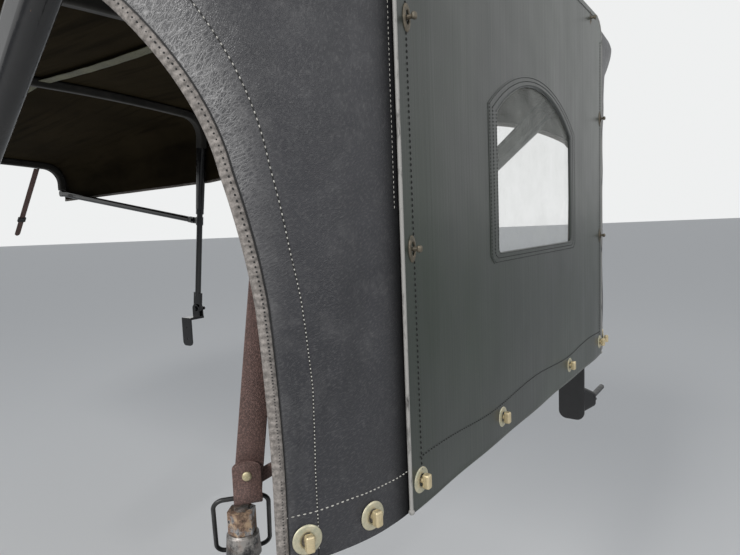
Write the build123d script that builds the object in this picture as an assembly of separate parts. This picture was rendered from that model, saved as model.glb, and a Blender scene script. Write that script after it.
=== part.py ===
from build123d import *
import os
from math import asin, cos, hypot, radians, sin

# Folding top of a touring car, raised. Millimetres, +X to the front of the car,
# +Y to its left, +Z up. The origin is the middle of the lower row of curtain
# fasteners, on the back of the car.

# Half widths: the body's side, and how far the bows' sockets and the cover stand off it
BODY_HALF = 556.0       # the face that the irons are bolted to
THIRD_HALF = BODY_HALF + 27.0
REAR_HALF = BODY_HALF + 62.0
MAIN_HALF = BODY_HALF + 63.0
COVER_HALF = BODY_HALF + 89.0

# Cover cloth
CLOTH = 3.0             # thickness of the cover
GAP = 0.3               # running gap between a cloth and what it lies on
CORNER_R = 240.0        # the quarters' corner at the body, seen from above
CORNER_TO = 470.0       # up to this height it keeps that radius
TOP_CORNER_R = 110.0    # the same corner at the roof
TOP_CORNER_Z = 650.0    # where it has tightened to that
CROWN_R = 6500.0        # the roof's slight curve from side to side
COVER_GAP = 0.4         # between the bows and the cover on them
CURTAIN_HALF = 405.0    # half width of the rear curtain
CURTAIN_TOP = 690.0     # its top edge, under the roof's rear edge
HEM_DROP = 22.0         # from the lower fasteners down to the cloth's edge
LIGHT_HALF = 340.0      # half width of the opening that the curtain closes
LIGHT_TOP = 610.0       # top of that opening
SEAM_Z = 555.0          # where a quarter is sewn to the deck
QUARTER_FRONT = 413.0   # where a quarter's edge has become the deck's edge

# Rear window
PANE_HALF = 165.0
PANE_LOW = 239.0
PANE_SPRING = 425.0     # where its sides meet the arch
PANE_APEX = 482.0
PANE_THICK = 1.0
PATCH_RIM = 14.0        # the stitched binding round the pane
PATCH_THICK = 1.6

# Pivot of the rear and third bows, and the posts' feet
PIVOT_X, PIVOT_Z = 900.0, -20.0
FOOT_X, FOOT_Z = 1706.0, -50.0

# Bows, raised: the middle of the bow, what it turns about, the wood's depth and width
WOOD_ROUND = 0.25       # corner radius of the wood, as a share of its depth
BOWS = {
    #         x       z      about x  about z  deep  wide
    "rear": (50.0, 674.0, PIVOT_X, PIVOT_Z, 30.0, 40.0),
    "third": (800.0, 745.0, PIVOT_X, PIVOT_Z, 28.0, 36.0),
    "main": (1590.0, 770.0, FOOT_X, FOOT_Z, 26.0, 40.0),
    "front": (2800.0, 675.0, 2800.0, 0.0, 30.0, 36.0),
}
BEND_R = {"rear": 100.0, "third": 90.0, "main": 90.0, "front": 90.0}
REAR_X, REAR_Z = BOWS["rear"][:2]
THIRD_X, THIRD_Z = BOWS["third"][:2]
MAIN_X, MAIN_Z = BOWS["main"][:2]
FRONT_X, FRONT_Z = BOWS["front"][:2]
FRONT_REACH = 145.0     # how far the front bow's ends come down
ARM_RISE = 379.0        # from the foot up the post to the arm's hinge
ARM_STANDOFF = 45.0     # the hinge stands this far ahead of the post

# The sockets' oval sections
SOCKET_DEEP, SOCKET_WIDE = 56.0, 34.0
THIRD_DEEP, THIRD_WIDE = 44.0, 24.0
MAIN_DEEP, MAIN_WIDE = 46.0, 28.0
POST_D = 24.0
POST_TOP = ARM_RISE + 51        # along the post, where the socket's ferrule is
ARM_DEEP, ARM_WIDE = 30.0, 20.0
SOCKET_STEP = 30.0      # the wood shows for this much below its bend
COLLAR_TALL, COLLAR_PROUD = 14.0, 1.5

# Pivot studs
STUD_R = 9.0
STUD_FIT = 0.05
EYE_R = 27.0
REAR_EYE = 20.0
THIRD_EYE = 12.0
HINGE_R = 6.0

# Irons on the body's sides
PLATE = 6.0
BOLT_R = 4.5
IRON_WIDE = 60.0
HOLE_STEP = 60.0

# Clamp of the post's foot
CLAMP_R = 5.0
SLOT_HALF = 5.5
TONGUE = 14.0
TONGUE_R = 20.0
CHEEK = 5.0
CHEEK_GAP = 0.5

# Saddle irons at the rear corners
SADDLE_X = 62.0
SADDLE_REST = -176.0    # top of the finger that the folded bows lie on
SADDLE_TIP = REAR_HALF + 70.0
FINGER_R = 7.0
BOSS_X, BOSS_Y = 105.0, BODY_HALF - 16.0
BOSS_R = 15.5
BOSS_NECK_R = 13.5
BOSS_TOP = -7.0
BOSS_TALL = 22.0
TAB_Z = -56.0
NUT_FLATS = 24.0
STUD_NUT_R = 7.0
SADDLE_HOLE_Z = -90.0
SADDLE_HOLE_STEP = 44.0
NUT_TALL = 22.0
BOSS_STUD_TOP = 18.0
RING_WIRE = 4.4
RING_WIDE = 52.0        # to the wire's middle
RING_BEND = 10.0
RING_LOW, RING_HIGH = -33.0, 29.0
STRAP_FACE = 40.0       # degrees from straight back, which way the strap and ring face
RING_LEAN = 5.0         # how far the ring's upper end stands out from the boss's axis

# Straps and webbing
STRAP_WIDE, STRAP_THICK = 27.0, 3.0
STRAP_FOLD = 36.0       # length of the riveted end, above the ring
STRAP_SHIFT = 7.0       # to the rear of the ring's middle
STRAP_TOP = (76.0, BODY_HALF - 106.0, 637.9)
STRAP_SLACK = 1.4       # round the ring's wire, which bends away at the strap's edges
RIVET_R, RIVET_THICK, RIVET_UP = 4.5, 1.6, 21.0
WEB_WIDE, WEB_THICK = 50.0, 2.0
WEB_UP = 4.0            # above the middle of a bow's depth
FRONT_STRAP_Y = MAIN_HALF - 119.0
FRONT_STRAP_LONG = 460.0
FRONT_STRAP_LEAN = 42.0 # degrees forward, towards the windscreen
BUCKLE_AT = 330.0       # down the strap

# Turn-button fasteners
WASHER_R = 14.25
WASHER_THICK = 1.5
WASHER_HOLE_R = 6.5
BUTTON_LONG, BUTTON_WIDE, BUTTON_THICK = 16.0, 8.0, 6.0
BUTTON_NECK_R = 3.0
BUTTON_STAND = 12.0
COLLAR_R = WASHER_HOLE_R - GAP
COLLAR_STAND = 0.9      # the button's round base shows this much above the cloth

# The curtain's fasteners, as (y, z)
ROW_Y = CURTAIN_HALF - 20.0
EDGE_Y = CURTAIN_HALF - 19.0
LOWER_ROW = [(ROW_Y, 8.0), (160.0, 8.0), (-160.0, 8.0), (-ROW_Y, 8.0)]
EDGE_ROW = [(EDGE_Y + 3, 257.0), (EDGE_Y, 487.0), (-EDGE_Y, 487.0), (-EDGE_Y, 241.0)]
TOP_ROW = [(310.0, CURTAIN_TOP - 18), (-310.0, CURTAIN_TOP - 18)]
# Lower fasteners of a quarter, as degrees round its corner
QUARTER_ROW = [13.5, 30.4]
# A quarter's front edge, as (x, z): the ends and middles of its arcs
FRONT_EDGE = [
    (48.2, 20.0), (49.2, 130.0), (53.0, 230.0),
    (74.0, 363.0), (142.7, 474.0),
    (255.0, 527.0), (QUARTER_FRONT, SEAM_Z),
]
BINDING = 8.0           # width of the strip sewn round that edge
BINDING_PROUD = 1.2

# The cover at the bows: lower edge of its sides, and its edge radius
EDGE_Z = {"rear": SEAM_Z, "third": 545.0, "main": 492.0, "front": 482.0}
EDGE_R = {"rear": 76.0, "third": 105.0, "main": 110.0, "front": 106.0}
FRONT_HEM = 24.0        # the cover reaches this far past the front bow's middle

PAST = 60.0             # what cuts a piece reaches this far past it
OVER = 830.0            # higher than any of the roof
SIDES = [("left", 1), ("right", -1)]


def save(name, shape):
    shape.label = name
    export_step(shape, f"parts/{name}.step")


def group(solids):
    """Like pieces of one body, that don't touch, as one node."""
    return Compound(children=list(solids))


def on_side(shape, side):
    """What is modelled for the left side, or its mirror image for the right."""
    return shape if side > 0 else mirror(shape, about=Plane.XZ)


def bow_plane(x, z, about_x, about_z):
    """A bow's plane: its X across the car, its Y from what it turns about up to the bow."""
    up = Vector(x - about_x, 0, z - about_z).normalized()
    across = Vector(0, -1, 0)
    return Plane(origin=(about_x, 0, about_z), x_dir=across, z_dir=across.cross(up))


def arch(half, top, low, radius, crown_r):
    """An arch as five edges: a side, a bend, the shallow crown, a bend, a side."""
    lean = asin((half - radius) / (crown_r - radius))
    bend_z = top - crown_r + (crown_r - radius) * cos(lean)
    spread = (radians(90) - lean) / 2
    points = []
    for turn in (0, spread, 2 * spread):
        points.append((half - radius + radius * cos(turn), bend_z + radius * sin(turn)))
    left = [(-y, z) for y, z in points]
    return [
        Line((-half, low), left[0]),
        ThreePointArc(*left),
        ThreePointArc(left[2], (0, top), points[2]),
        ThreePointArc(points[2], points[1], points[0]),
        Line(points[0], (half, low)),
    ]


def bow_mouth(name, half):
    """How far up its plane a bow's wood leaves the socket."""
    x, z, about_x, about_z, _, _ = BOWS[name]
    length = reach(x, z, about_x, about_z)
    fall = half**2 / (2 * CROWN_R * (z - about_z) / length)
    return length - fall - BEND_R[name] - SOCKET_STEP


def wood_bow(name, half, ends_at):
    """A bow's wood. Its crown is steeper in its own plane where it leans."""
    x, z, about_x, about_z, deep, wide = BOWS[name]
    plane = bow_plane(x, z, about_x, about_z)
    length = reach(x, z, about_x, about_z)
    crown_r = (CROWN_R - 20) * (z - about_z) / length
    path = plane * Wire(arch(half, length, ends_at, BEND_R[name], crown_r))
    start = Plane(path @ 0, x_dir=plane.x_dir, z_dir=path % 0)
    profile = start * RectangleRounded(deep, wide, deep * WOOD_ROUND)
    return sweep(profile, path=path)


def bow_peak(name):
    """The highest point of a bow's section, on its middle."""
    x, z, about_x, about_z, deep, wide = BOWS[name]
    length = reach(x, z, about_x, about_z)
    lean, rise = (about_x - x) / length, (z - about_z) / length
    round_r = deep * WOOD_ROUND
    up, ahead = deep / 2 - round_r, wide / 2 - round_r
    return x - up * lean + ahead * rise, z + up * rise + ahead * lean + round_r


def bow_side(name, ahead):
    """A point just off a bow's front or rear face, for the end of a webbing. Ahead is 1 or -1."""
    x, z, about_x, about_z, _, wide = BOWS[name]
    length = reach(x, z, about_x, about_z)
    lean, rise = (about_x - x) / length, (z - about_z) / length
    off = ahead * (wide / 2 + GAP + lean * WEB_THICK / 2)
    return x + off * rise - WEB_UP * lean, z + off * lean + WEB_UP * rise


def cover_sections():
    """The cover's inside over each bow, as name: (x, height at the middle, lower edge, edge radius)."""
    lines = {name: bow_peak(name) for name in ("rear", "third", "main")}
    deep, wide = BOWS["front"][4:]
    front = (FRONT_X + wide / 2 - deep * WOOD_ROUND, FRONT_Z + deep / 2)
    ends = {
        "rear": (0.0, lines["rear"], lines["third"]),
        "third": (lines["third"][0], lines["third"], lines["main"]),
        "main": (lines["main"][0], lines["main"], front),
        "front": (FRONT_X + FRONT_HEM, front, lines["main"]),
    }
    sections = {}
    for name, (x, near, far) in ends.items():
        share = (x - near[0]) / (far[0] - near[0])
        sections[name] = (x, near[1] + share * (far[1] - near[1]) + COVER_GAP, EDGE_Z[name], EDGE_R[name])
    return sections


def reach(x, z, about_x, about_z):
    return hypot(x - about_x, z - about_z)


def oval_bar(plane, half, low, high, low_size, high_size):
    """A tapering oval tube along a bow's plane, from low to high. Sizes are (deep, wide)."""
    sections = []
    for along, (deep, wide) in ((low, low_size), (high, high_size)):
        at = plane * Plane(origin=(half, along, 0), x_dir=(0, 0, 1), z_dir=(0, 1, 0))
        sections.append(at * SlotOverall(deep, wide))
    return loft(sections, ruled=True)


def cylinder_y(x, z, r, y_from, y_to):
    """A round bar across the car."""
    at = Plane(origin=(x, y_from, z), x_dir=(1, 0, 0), z_dir=(0, 1, 0))
    return extrude(at * Circle(r), y_to - y_from)


def section_face(x, half, top, low, radius, crown_r):
    """The filled outline of the cover across the car at x."""
    edges = arch(half, top, low, radius, crown_r)
    edges.append(Line((half, low), (-half, low)))
    return Plane(origin=(x, 0, 0), x_dir=(0, -1, 0), z_dir=(-1, 0, 0)) * make_face(Wire(edges))


def deck_solid(a, b, inset):
    """The space under the cover between two of its sections, inset by a thickness."""
    faces = []
    for x, top, low, edge_r in (a, b):
        half = COVER_HALF - inset
        outer_top = top + CLOTH - inset
        faces.append(section_face(x, half, outer_top, low - inset, edge_r - inset, CROWN_R - inset))
    return loft(faces, ruled=True)


def deck_bay(a, b):
    return deck_solid(a, b, 0.0) - deck_solid(a, b, CLOTH)


def plan_face(inset, z, radius):
    """The quarters' outline at one height, filled."""
    half = COVER_HALF - inset
    turn = (radius - inset) * (1 - cos(radians(45)))
    far = THIRD_X + 100
    near, side = radius, half - radius + inset
    outline = [
        Line((far, -half), (near, -half)),
        ThreePointArc((near, -half), (inset + turn, -half + turn), (inset, -side)),
        Line((inset, -side), (inset, side)),
        ThreePointArc((inset, side), (inset + turn, half - turn), (near, half)),
        Line((near, half), (far, half)),
        Line((far, half), (far, -half)),
    ]
    return Plane(origin=(0, 0, z)) * make_face(Wire(outline))


def plan_loft(inset, levels):
    """Everything inside the quarters' outline, whose corners tighten towards the roof."""
    return loft([plan_face(inset, z, radius) for z, radius in levels], ruled=True)


def side_prism(points):
    """A prism right across the car from an outline given as (x, z)."""
    at = Plane(origin=(0, COVER_HALF + PAST, 0), x_dir=(1, 0, 0), z_dir=(0, -1, 0))
    return extrude(at * make_face(Polyline(*points, close=True).edges()), 2 * (COVER_HALF + PAST))


def corner_levels(low, high):
    """Heights and corner radii of the quarters' outline between two heights."""
    levels = []
    for z in (low, CORNER_TO, TOP_CORNER_Z, high):
        share = min(max((z - CORNER_TO) / (TOP_CORNER_Z - CORNER_TO), 0), 1)
        if low <= z <= high:
            levels.append((z, CORNER_R + share * (TOP_CORNER_R - CORNER_R)))
    return levels


def deck_rear():
    """The rear bay of the roof, with the rounded rear corners and the wall behind the bow."""
    sections = cover_sections()
    rear, third = sections["rear"], sections["third"]
    a, b = [(x, top, SEAM_Z - 30, edge_r) for x, top, _, edge_r in (rear, third)]
    outer = deck_solid(a, b, 0.0) & plan_loft(0.0, corner_levels(SEAM_Z - PAST, OVER))
    inner = deck_solid(a, b, CLOTH) & plan_loft(CLOTH, corner_levels(SEAM_Z - PAST - 20, OVER))
    seam = SEAM_Z + GAP
    under = [(-50, 400), (-50, seam), (QUARTER_FRONT, seam), (third[0], third[2]), (third[0], 400)]
    light = Box(30, 2 * LIGHT_HALF, 200, align=(Align.CENTER, Align.CENTER, Align.MAX))
    light = light.moved(Location((0, 0, LIGHT_TOP)))
    return outer - inner - side_prism(under) - light


def quarter_edge_cut(strip=0.0):
    """What is cut away ahead of a quarter's front edge, or from a strip's width behind it."""
    low, high = -200.0, SEAM_Z + PAST
    start, end = FRONT_EDGE[0], FRONT_EDGE[-1]
    ahead = QUARTER_FRONT + 200
    edge = [Line((start[0], low), start)]
    for n in range(0, len(FRONT_EDGE) - 2, 2):
        edge.append(ThreePointArc(*FRONT_EDGE[n : n + 3]))
    corners = [end, (end[0], high), (ahead, high), (ahead, low), (start[0], low)]
    edge += [Line(a, b) for a, b in zip(corners, corners[1:])]
    at = Plane(origin=(0, COVER_HALF + PAST, 0), x_dir=(1, 0, 0), z_dir=(0, -1, 0))
    ahead_of_edge = make_face(Wire(edge))
    if strip:
        ahead_of_edge = offset(ahead_of_edge, amount=strip, kind=Kind.INTERSECTION)
    return extrude(at * ahead_of_edge, 2 * (COVER_HALF + PAST))


def quarter():
    """The left quarter: a return behind the curtain, round the corner and along the side."""
    outer = plan_loft(0.0, corner_levels(-HEM_DROP, SEAM_Z))
    band = outer - plan_loft(CLOTH, corner_levels(-HEM_DROP - 5, SEAM_Z + 5))
    keep = Box(QUARTER_FRONT + 100, 800, 1400, align=(Align.MIN, Align.MIN, Align.CENTER))
    keep = keep.moved(Location((-50, LIGHT_HALF, 0)))
    within = plan_loft(CLOTH / 2, corner_levels(-HEM_DROP - 5, SEAM_Z + 5))
    proud = plan_loft(-BINDING_PROUD, corner_levels(-HEM_DROP, SEAM_Z)) - within
    ahead_of_edge = quarter_edge_cut()
    binding = (proud & keep & quarter_edge_cut(BINDING)) - ahead_of_edge
    shape = (band & keep) - ahead_of_edge + binding
    for turn in QUARTER_ROW:
        shape -= quarter_frame(turn).location * Cylinder(WASHER_HOLE_R, 30)
    return shape


def quarter_frame(turn):
    """A plane on the quarter's corner, its Z outward."""
    out = Vector(-cos(radians(turn)), sin(radians(turn)), 0)
    centre = Vector(CORNER_R, COVER_HALF - CORNER_R, 0)
    return Plane(origin=centre + out * CORNER_R, x_dir=(0, 0, 1), z_dir=out)


def pane_outline(grow):
    half = PANE_HALF + grow
    spring = PANE_SPRING + grow * 0.6
    path = [
        Line((-half, spring), (-half, PANE_LOW - grow)),
        Line((-half, PANE_LOW - grow), (half, PANE_LOW - grow)),
        Line((half, PANE_LOW - grow), (half, spring)),
        ThreePointArc((half, spring), (0, PANE_APEX + grow), (-half, spring)),
    ]
    return make_face(Wire(path))


def rear_plane(x):
    """A plane across the car, its Z to the rear."""
    return Plane(origin=(x, 0, 0), x_dir=(0, -1, 0), z_dir=(-1, 0, 0))


def rear_curtain():
    outline = rear_plane(-GAP) * make_face(
        Polyline(
            (-CURTAIN_HALF, -HEM_DROP),
            (CURTAIN_HALF, -HEM_DROP),
            (CURTAIN_HALF, CURTAIN_TOP),
            (-CURTAIN_HALF, CURTAIN_TOP),
            close=True,
        ).edges()
    )
    sheet = extrude(outline, CLOTH)
    sheet -= extrude(rear_plane(5) * pane_outline(0), 20)
    for y, z in LOWER_ROW + EDGE_ROW + TOP_ROW:
        sheet -= extrude(rear_plane(5) * Pos(-y, z, 0) * Circle(WASHER_HOLE_R), 20)
    return sheet


def window_binding():
    rim = pane_outline(PATCH_RIM) - pane_outline(0)
    return extrude(rear_plane(-GAP - CLOTH - GAP) * rim, PATCH_THICK)


def window_pane():
    return extrude(rear_plane(-GAP - 1) * pane_outline(-GAP), PANE_THICK)


def washer_and_button(at):
    """A washer on the cloth and its turn button, as two solids, standing on a plane."""
    washer = extrude(at * Circle(WASHER_R) - at * Circle(WASHER_HOLE_R), WASHER_THICK)
    collar_at = at * Pos(0, 0, -CLOTH - GAP)
    neck = extrude(collar_at * Circle(COLLAR_R), CLOTH + GAP + COLLAR_STAND)
    neck += extrude(at * Circle(BUTTON_NECK_R), BUTTON_STAND)
    head_at = at * Pos(0, 0, BUTTON_STAND - BUTTON_THICK)
    head = extrude(head_at * SlotOverall(BUTTON_LONG, BUTTON_WIDE), BUTTON_THICK)
    return washer, neck + head


def curtain_fastener_frames(rows):
    return [rear_plane(-GAP - CLOTH - GAP) * Pos(-y, z, 0) for y, z in rows]


def quarter_fastener_frames():
    frames = []
    for turn in QUARTER_ROW:
        left = quarter_frame(turn).offset(GAP)
        right_z = Vector(left.z_dir.X, -left.z_dir.Y, 0)
        right_at = (left.origin.X, -left.origin.Y, left.origin.Z)
        right = Plane(origin=right_at, x_dir=(0, 0, 1), z_dir=right_z)
        frames += [left.location, right.location]
    return frames


def make_cover():
    save("deck_rear", deck_rear())
    sections = cover_sections()
    save("deck_mid", deck_bay(sections["third"], sections["main"]))
    save("deck_front", deck_bay(sections["main"], sections["front"]))
    left = quarter()
    for name, side in SIDES:
        save(f"quarter_{name}", on_side(left, side))
    save("rear_curtain", rear_curtain())
    save("window_binding", window_binding())
    save("window_pane", window_pane())


def make_fasteners():
    rows = {
        "hem": curtain_fastener_frames(LOWER_ROW) + quarter_fastener_frames(),
        "edge": curtain_fastener_frames(EDGE_ROW + TOP_ROW),
    }
    for row, frames in rows.items():
        pairs = [washer_and_button(at) for at in frames]
        save(f"{row}_washers", group(p[0] for p in pairs))
        save(f"{row}_buttons", group(p[1] for p in pairs))


def socket_with_eye(plane, half, length, low_size, high_size, eye, start):
    """A socket from its pivot eye to the wood, on the left side."""
    bar = oval_bar(plane, -half, start, length, low_size, high_size)
    collar_size = [across + 2 * COLLAR_PROUD for across in high_size]
    bar += oval_bar(plane, -half, length - COLLAR_TALL, length, collar_size, collar_size)
    eye_disc = cylinder_y(PIVOT_X, PIVOT_Z, EYE_R, half - eye / 2, half + eye / 2)
    bore = cylinder_y(PIVOT_X, PIVOT_Z, STUD_R + STUD_FIT, half - 60, half + 60)
    return bar + eye_disc - bore


def make_pivot_bow(name, half, low_size, high_size, eye):
    plane = bow_plane(*BOWS[name][:4])
    mouth = bow_mouth(name, half)
    save(f"{name}_bow", wood_bow(name, half, mouth))
    left = socket_with_eye(plane, half, mouth, low_size, high_size, eye, EYE_R * 0.6)
    for side_name, side in SIDES:
        save(f"{name}_socket_{side_name}", on_side(left, side))


def make_rear_and_third():
    make_pivot_bow("rear", REAR_HALF, (40, REAR_EYE), (SOCKET_DEEP, SOCKET_WIDE), REAR_EYE)
    make_pivot_bow("third", THIRD_HALF, (34, THIRD_EYE), (THIRD_DEEP, THIRD_WIDE), THIRD_EYE)


def main_direction():
    length = reach(MAIN_X, MAIN_Z, FOOT_X, FOOT_Z)
    return (MAIN_X - FOOT_X) / length, (MAIN_Z - FOOT_Z) / length


def hinge_point():
    """Where the front arms are hinged, ahead of the posts."""
    dx, dz = main_direction()
    return FOOT_X + dx * ARM_RISE + dz * ARM_STANDOFF, FOOT_Z + dz * ARM_RISE - dx * ARM_STANDOFF


def foot_tongue():
    """The flat slotted foot of a post, that drops over the clamp bolt."""
    low, high = MAIN_HALF - TONGUE / 2, MAIN_HALF + TONGUE / 2
    disc = cylinder_y(FOOT_X, FOOT_Z, TONGUE_R, low, high)
    dx, dz = main_direction()
    plane = bow_plane(MAIN_X, MAIN_Z, FOOT_X, FOOT_Z)
    neck_at = plane * Plane(origin=(-MAIN_HALF, 0, 0), x_dir=(0, 0, 1), z_dir=(0, 1, 0))
    neck = extrude(neck_at * Rectangle(2 * TONGUE_R, TONGUE), 70)
    bolt = cylinder_y(FOOT_X, FOOT_Z, SLOT_HALF, low - 5, high + 5)
    leave = Plane(origin=(FOOT_X, MAIN_HALF, FOOT_Z), x_dir=(0, 1, 0), z_dir=(0.53, 0, -0.848))
    slot = extrude(leave * Rectangle(TONGUE + 10, 2 * SLOT_HALF), 60)
    return disc + neck - bolt - slot


def make_main():
    plane = bow_plane(MAIN_X, MAIN_Z, FOOT_X, FOOT_Z)
    mouth = bow_mouth("main", MAIN_HALF)
    save("main_bow", wood_bow("main", MAIN_HALF, mouth))
    socket = oval_bar(plane, -MAIN_HALF, POST_TOP, mouth, (36, MAIN_WIDE), (MAIN_DEEP, MAIN_WIDE))
    hx, hz = hinge_point()
    post_at = plane * Plane(origin=(-MAIN_HALF, 0, 0), x_dir=(0, 0, 1), z_dir=(0, 1, 0))
    post = extrude(post_at * Pos(0, 0, 55) * Circle(POST_D / 2), POST_TOP - 55)
    ferrule = extrude(post_at * Pos(0, 0, POST_TOP - 22) * Circle(POST_D / 2 + 4), 22)
    lug = cylinder_y(hx, hz, 13, MAIN_HALF - 4, MAIN_HALF + 4)
    arm_at = post_at * Pos(-ARM_STANDOFF / 2, 0, ARM_RISE - 13)
    web = extrude(arm_at * Rectangle(ARM_STANDOFF, 8), 26)
    band = extrude(post_at * Pos(0, 0, ARM_RISE - 17) * Circle(POST_D / 2 + 3), 34)
    pin = cylinder_y(hx, hz, HINGE_R, MAIN_HALF - 15, MAIN_HALF + 15)
    stem = post + ferrule + band + web + lug + pin + foot_tongue()
    for name, side in SIDES:
        save(f"main_socket_{name}", on_side(socket, side))
        save(f"main_post_{name}", on_side(stem, side))


def make_front():
    hx, hz = hinge_point()
    low = FRONT_Z - FRONT_REACH
    save("front_bow", wood_bow("front", MAIN_HALF, low))
    knee_z = low - 17.5
    length = hypot(FRONT_X - hx, knee_z - hz)
    along = bow_plane(FRONT_X, knee_z, hx, hz)
    bar = oval_bar(along, -MAIN_HALF, 22, length, (ARM_DEEP - 6, ARM_WIDE), (ARM_DEEP, ARM_WIDE))
    knee = cylinder_y(FRONT_X, knee_z, 17, MAIN_HALF - ARM_WIDE / 2, MAIN_HALF + ARM_WIDE / 2)
    cheeks = []
    for y in (MAIN_HALF - 8.6, MAIN_HALF + 4.6):
        cheek = cylinder_y(hx, hz, 13, y, y + 4)
        at = along * Plane(origin=(-y - 2, 0, 0), x_dir=(0, 0, 1), z_dir=(0, 1, 0))
        cheek += extrude(at * Rectangle(24, 4), 24)
        cheeks.append(cheek - cylinder_y(hx, hz, HINGE_R + STUD_FIT, y - 5, y + 9))
    arm = bar + knee + cheeks[0] + cheeks[1]
    for name, side in SIDES:
        save(f"front_arm_{name}", on_side(arm, side))


def rear_iron():
    plate = Box(IRON_WIDE, PLATE, 165, align=(Align.CENTER, Align.MIN, Align.MIN))
    plate = plate.moved(Location((PIVOT_X, BODY_HALF, PIVOT_Z - 135)))
    plate = fillet(plate.edges().filter_by(Axis.Y), 18)
    collar_to = THIRD_HALF - THIRD_EYE / 2 - GAP
    stud = cylinder_y(PIVOT_X, PIVOT_Z, 17, BODY_HALF + PLATE - 1, collar_to)
    stud += cylinder_y(PIVOT_X, PIVOT_Z, STUD_R, BODY_HALF + PLATE - 1, REAR_HALF + REAR_EYE / 2 + 14)
    shape = plate + stud
    for n in (1, 2):
        shape -= cylinder_y(PIVOT_X, PIVOT_Z - n * HOLE_STEP + 5, BOLT_R, BODY_HALF - 5, BODY_HALF + 15)
    return shape


def front_iron():
    top = FOOT_Z - TONGUE_R - 12
    plate = Box(IRON_WIDE, PLATE, 120, align=(Align.CENTER, Align.MIN, Align.MAX))
    plate = plate.moved(Location((FOOT_X, BODY_HALF, top)))
    plate = fillet(plate.edges().filter_by(Axis.Y).group_by(Axis.Z)[0], 18)
    reach_y = MAIN_HALF + TONGUE / 2 + CHEEK_GAP + CHEEK - BODY_HALF
    shelf = Box(44, reach_y, 10, align=(Align.CENTER, Align.MIN, Align.MAX))
    shelf = shelf.moved(Location((FOOT_X, BODY_HALF, top)))
    shape = plate + shelf
    inner = MAIN_HALF - TONGUE / 2 - CHEEK_GAP
    outer = MAIN_HALF + TONGUE / 2 + CHEEK_GAP
    for y in (inner - CHEEK, outer):
        cheek = Box(40, CHEEK, FOOT_Z - top, align=(Align.CENTER, Align.MIN, Align.MIN))
        shape += cheek.moved(Location((FOOT_X, y, top))) + cylinder_y(FOOT_X, FOOT_Z, 20, y, y + CHEEK)
    shape -= cylinder_y(FOOT_X, FOOT_Z, CLAMP_R + STUD_FIT, inner - 20, outer + 20)
    for n in (1, 2):
        shape -= cylinder_y(FOOT_X, top + 10 - n * 50, BOLT_R, BODY_HALF - 5, BODY_HALF + 15)
    return shape


def clamp_bolt():
    inner = MAIN_HALF - TONGUE / 2 - CHEEK_GAP - CHEEK
    outer = MAIN_HALF + TONGUE / 2 + CHEEK_GAP + CHEEK
    bolt = cylinder_y(FOOT_X, FOOT_Z, CLAMP_R, inner - GAP, outer + GAP + 12)
    bolt += cylinder_y(FOOT_X, FOOT_Z, 10, inner - GAP - 6, inner - GAP)
    wing = cylinder_y(FOOT_X, FOOT_Z, 9, outer + GAP, outer + GAP + 9)
    ears = Box(46, 5, 14).moved(Location((FOOT_X, outer + GAP + 6, FOOT_Z)))
    ears = fillet(ears.edges().filter_by(Axis.Y), 6)
    return bolt + wing + ears


def saddle_boss():
    """The round boss that the strap's ring hooks over, turned about its own axis."""
    low = TAB_Z
    outline = Polyline(
        (0, low), (BOSS_NECK_R, low), (BOSS_NECK_R, BOSS_TOP - BOSS_TALL),
        (BOSS_R + 1.5, BOSS_TOP - BOSS_TALL), (BOSS_R, BOSS_TOP - 2), (BOSS_R - 2, BOSS_TOP),
        (0, BOSS_TOP), close=True,
    )
    turned = revolve(Plane.XZ * make_face(outline.edges()), Axis.Z)
    return turned.moved(Location((BOSS_X, BOSS_Y, 0)))


def saddle_iron():
    """The left rear corner's iron: a bolted plate, a shelf with the boss, a finger for the bows."""
    face = BODY_HALF
    plate = Box(64, PLATE, 190, align=(Align.CENTER, Align.MIN, Align.MAX))
    plate = plate.moved(Location((BOSS_X, face, TAB_Z + 6)))
    plate = fillet(plate.edges().filter_by(Axis.Y).group_by(Axis.Z)[0], 20)
    shelf = Box(44, face + PLATE - BOSS_Y + 18, 6, align=(Align.CENTER, Align.MAX, Align.MAX))
    shelf = shelf.moved(Location((BOSS_X, face + PLATE, TAB_Z + 6)))
    stud = Cylinder(STUD_NUT_R, BOSS_STUD_TOP - BOSS_TOP + 5, align=(Align.CENTER, Align.CENTER, Align.MAX))
    stud = stud.moved(Location((BOSS_X, BOSS_Y, BOSS_STUD_TOP)))
    low = SADDLE_REST - 2 * FINGER_R
    root = face + PLATE + 34
    near = Plane(origin=(BOSS_X - 8, face + PLATE - 1, low + 4), x_dir=(1, 0, 0), z_dir=(0, 1, 0))
    tip = Plane(origin=(SADDLE_X + 5, root, low - 1), x_dir=(1, 0, 0), z_dir=(0, 1, 0))
    arm = loft([near * RectangleRounded(44, 74, 12), tip * RectangleRounded(26, 42, 12)], ruled=True)
    finger = cylinder_y(SADDLE_X, SADDLE_REST - FINGER_R, FINGER_R, root - 5, SADDLE_TIP)
    finger += Sphere(FINGER_R).moved(Location((SADDLE_X, SADDLE_TIP, SADDLE_REST - FINGER_R)))
    spur = cylinder_y(SADDLE_X + 4, low - 14, 3.5, root - 5, SADDLE_TIP - 45)
    shape = plate + shelf + saddle_boss() + stud + arm + finger + spur
    for n in (0, 1):
        z = SADDLE_HOLE_Z - n * SADDLE_HOLE_STEP
        shape -= cylinder_y(BOSS_X + 16, z, BOLT_R, face - 5, face + 15)
    return shape


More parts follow.
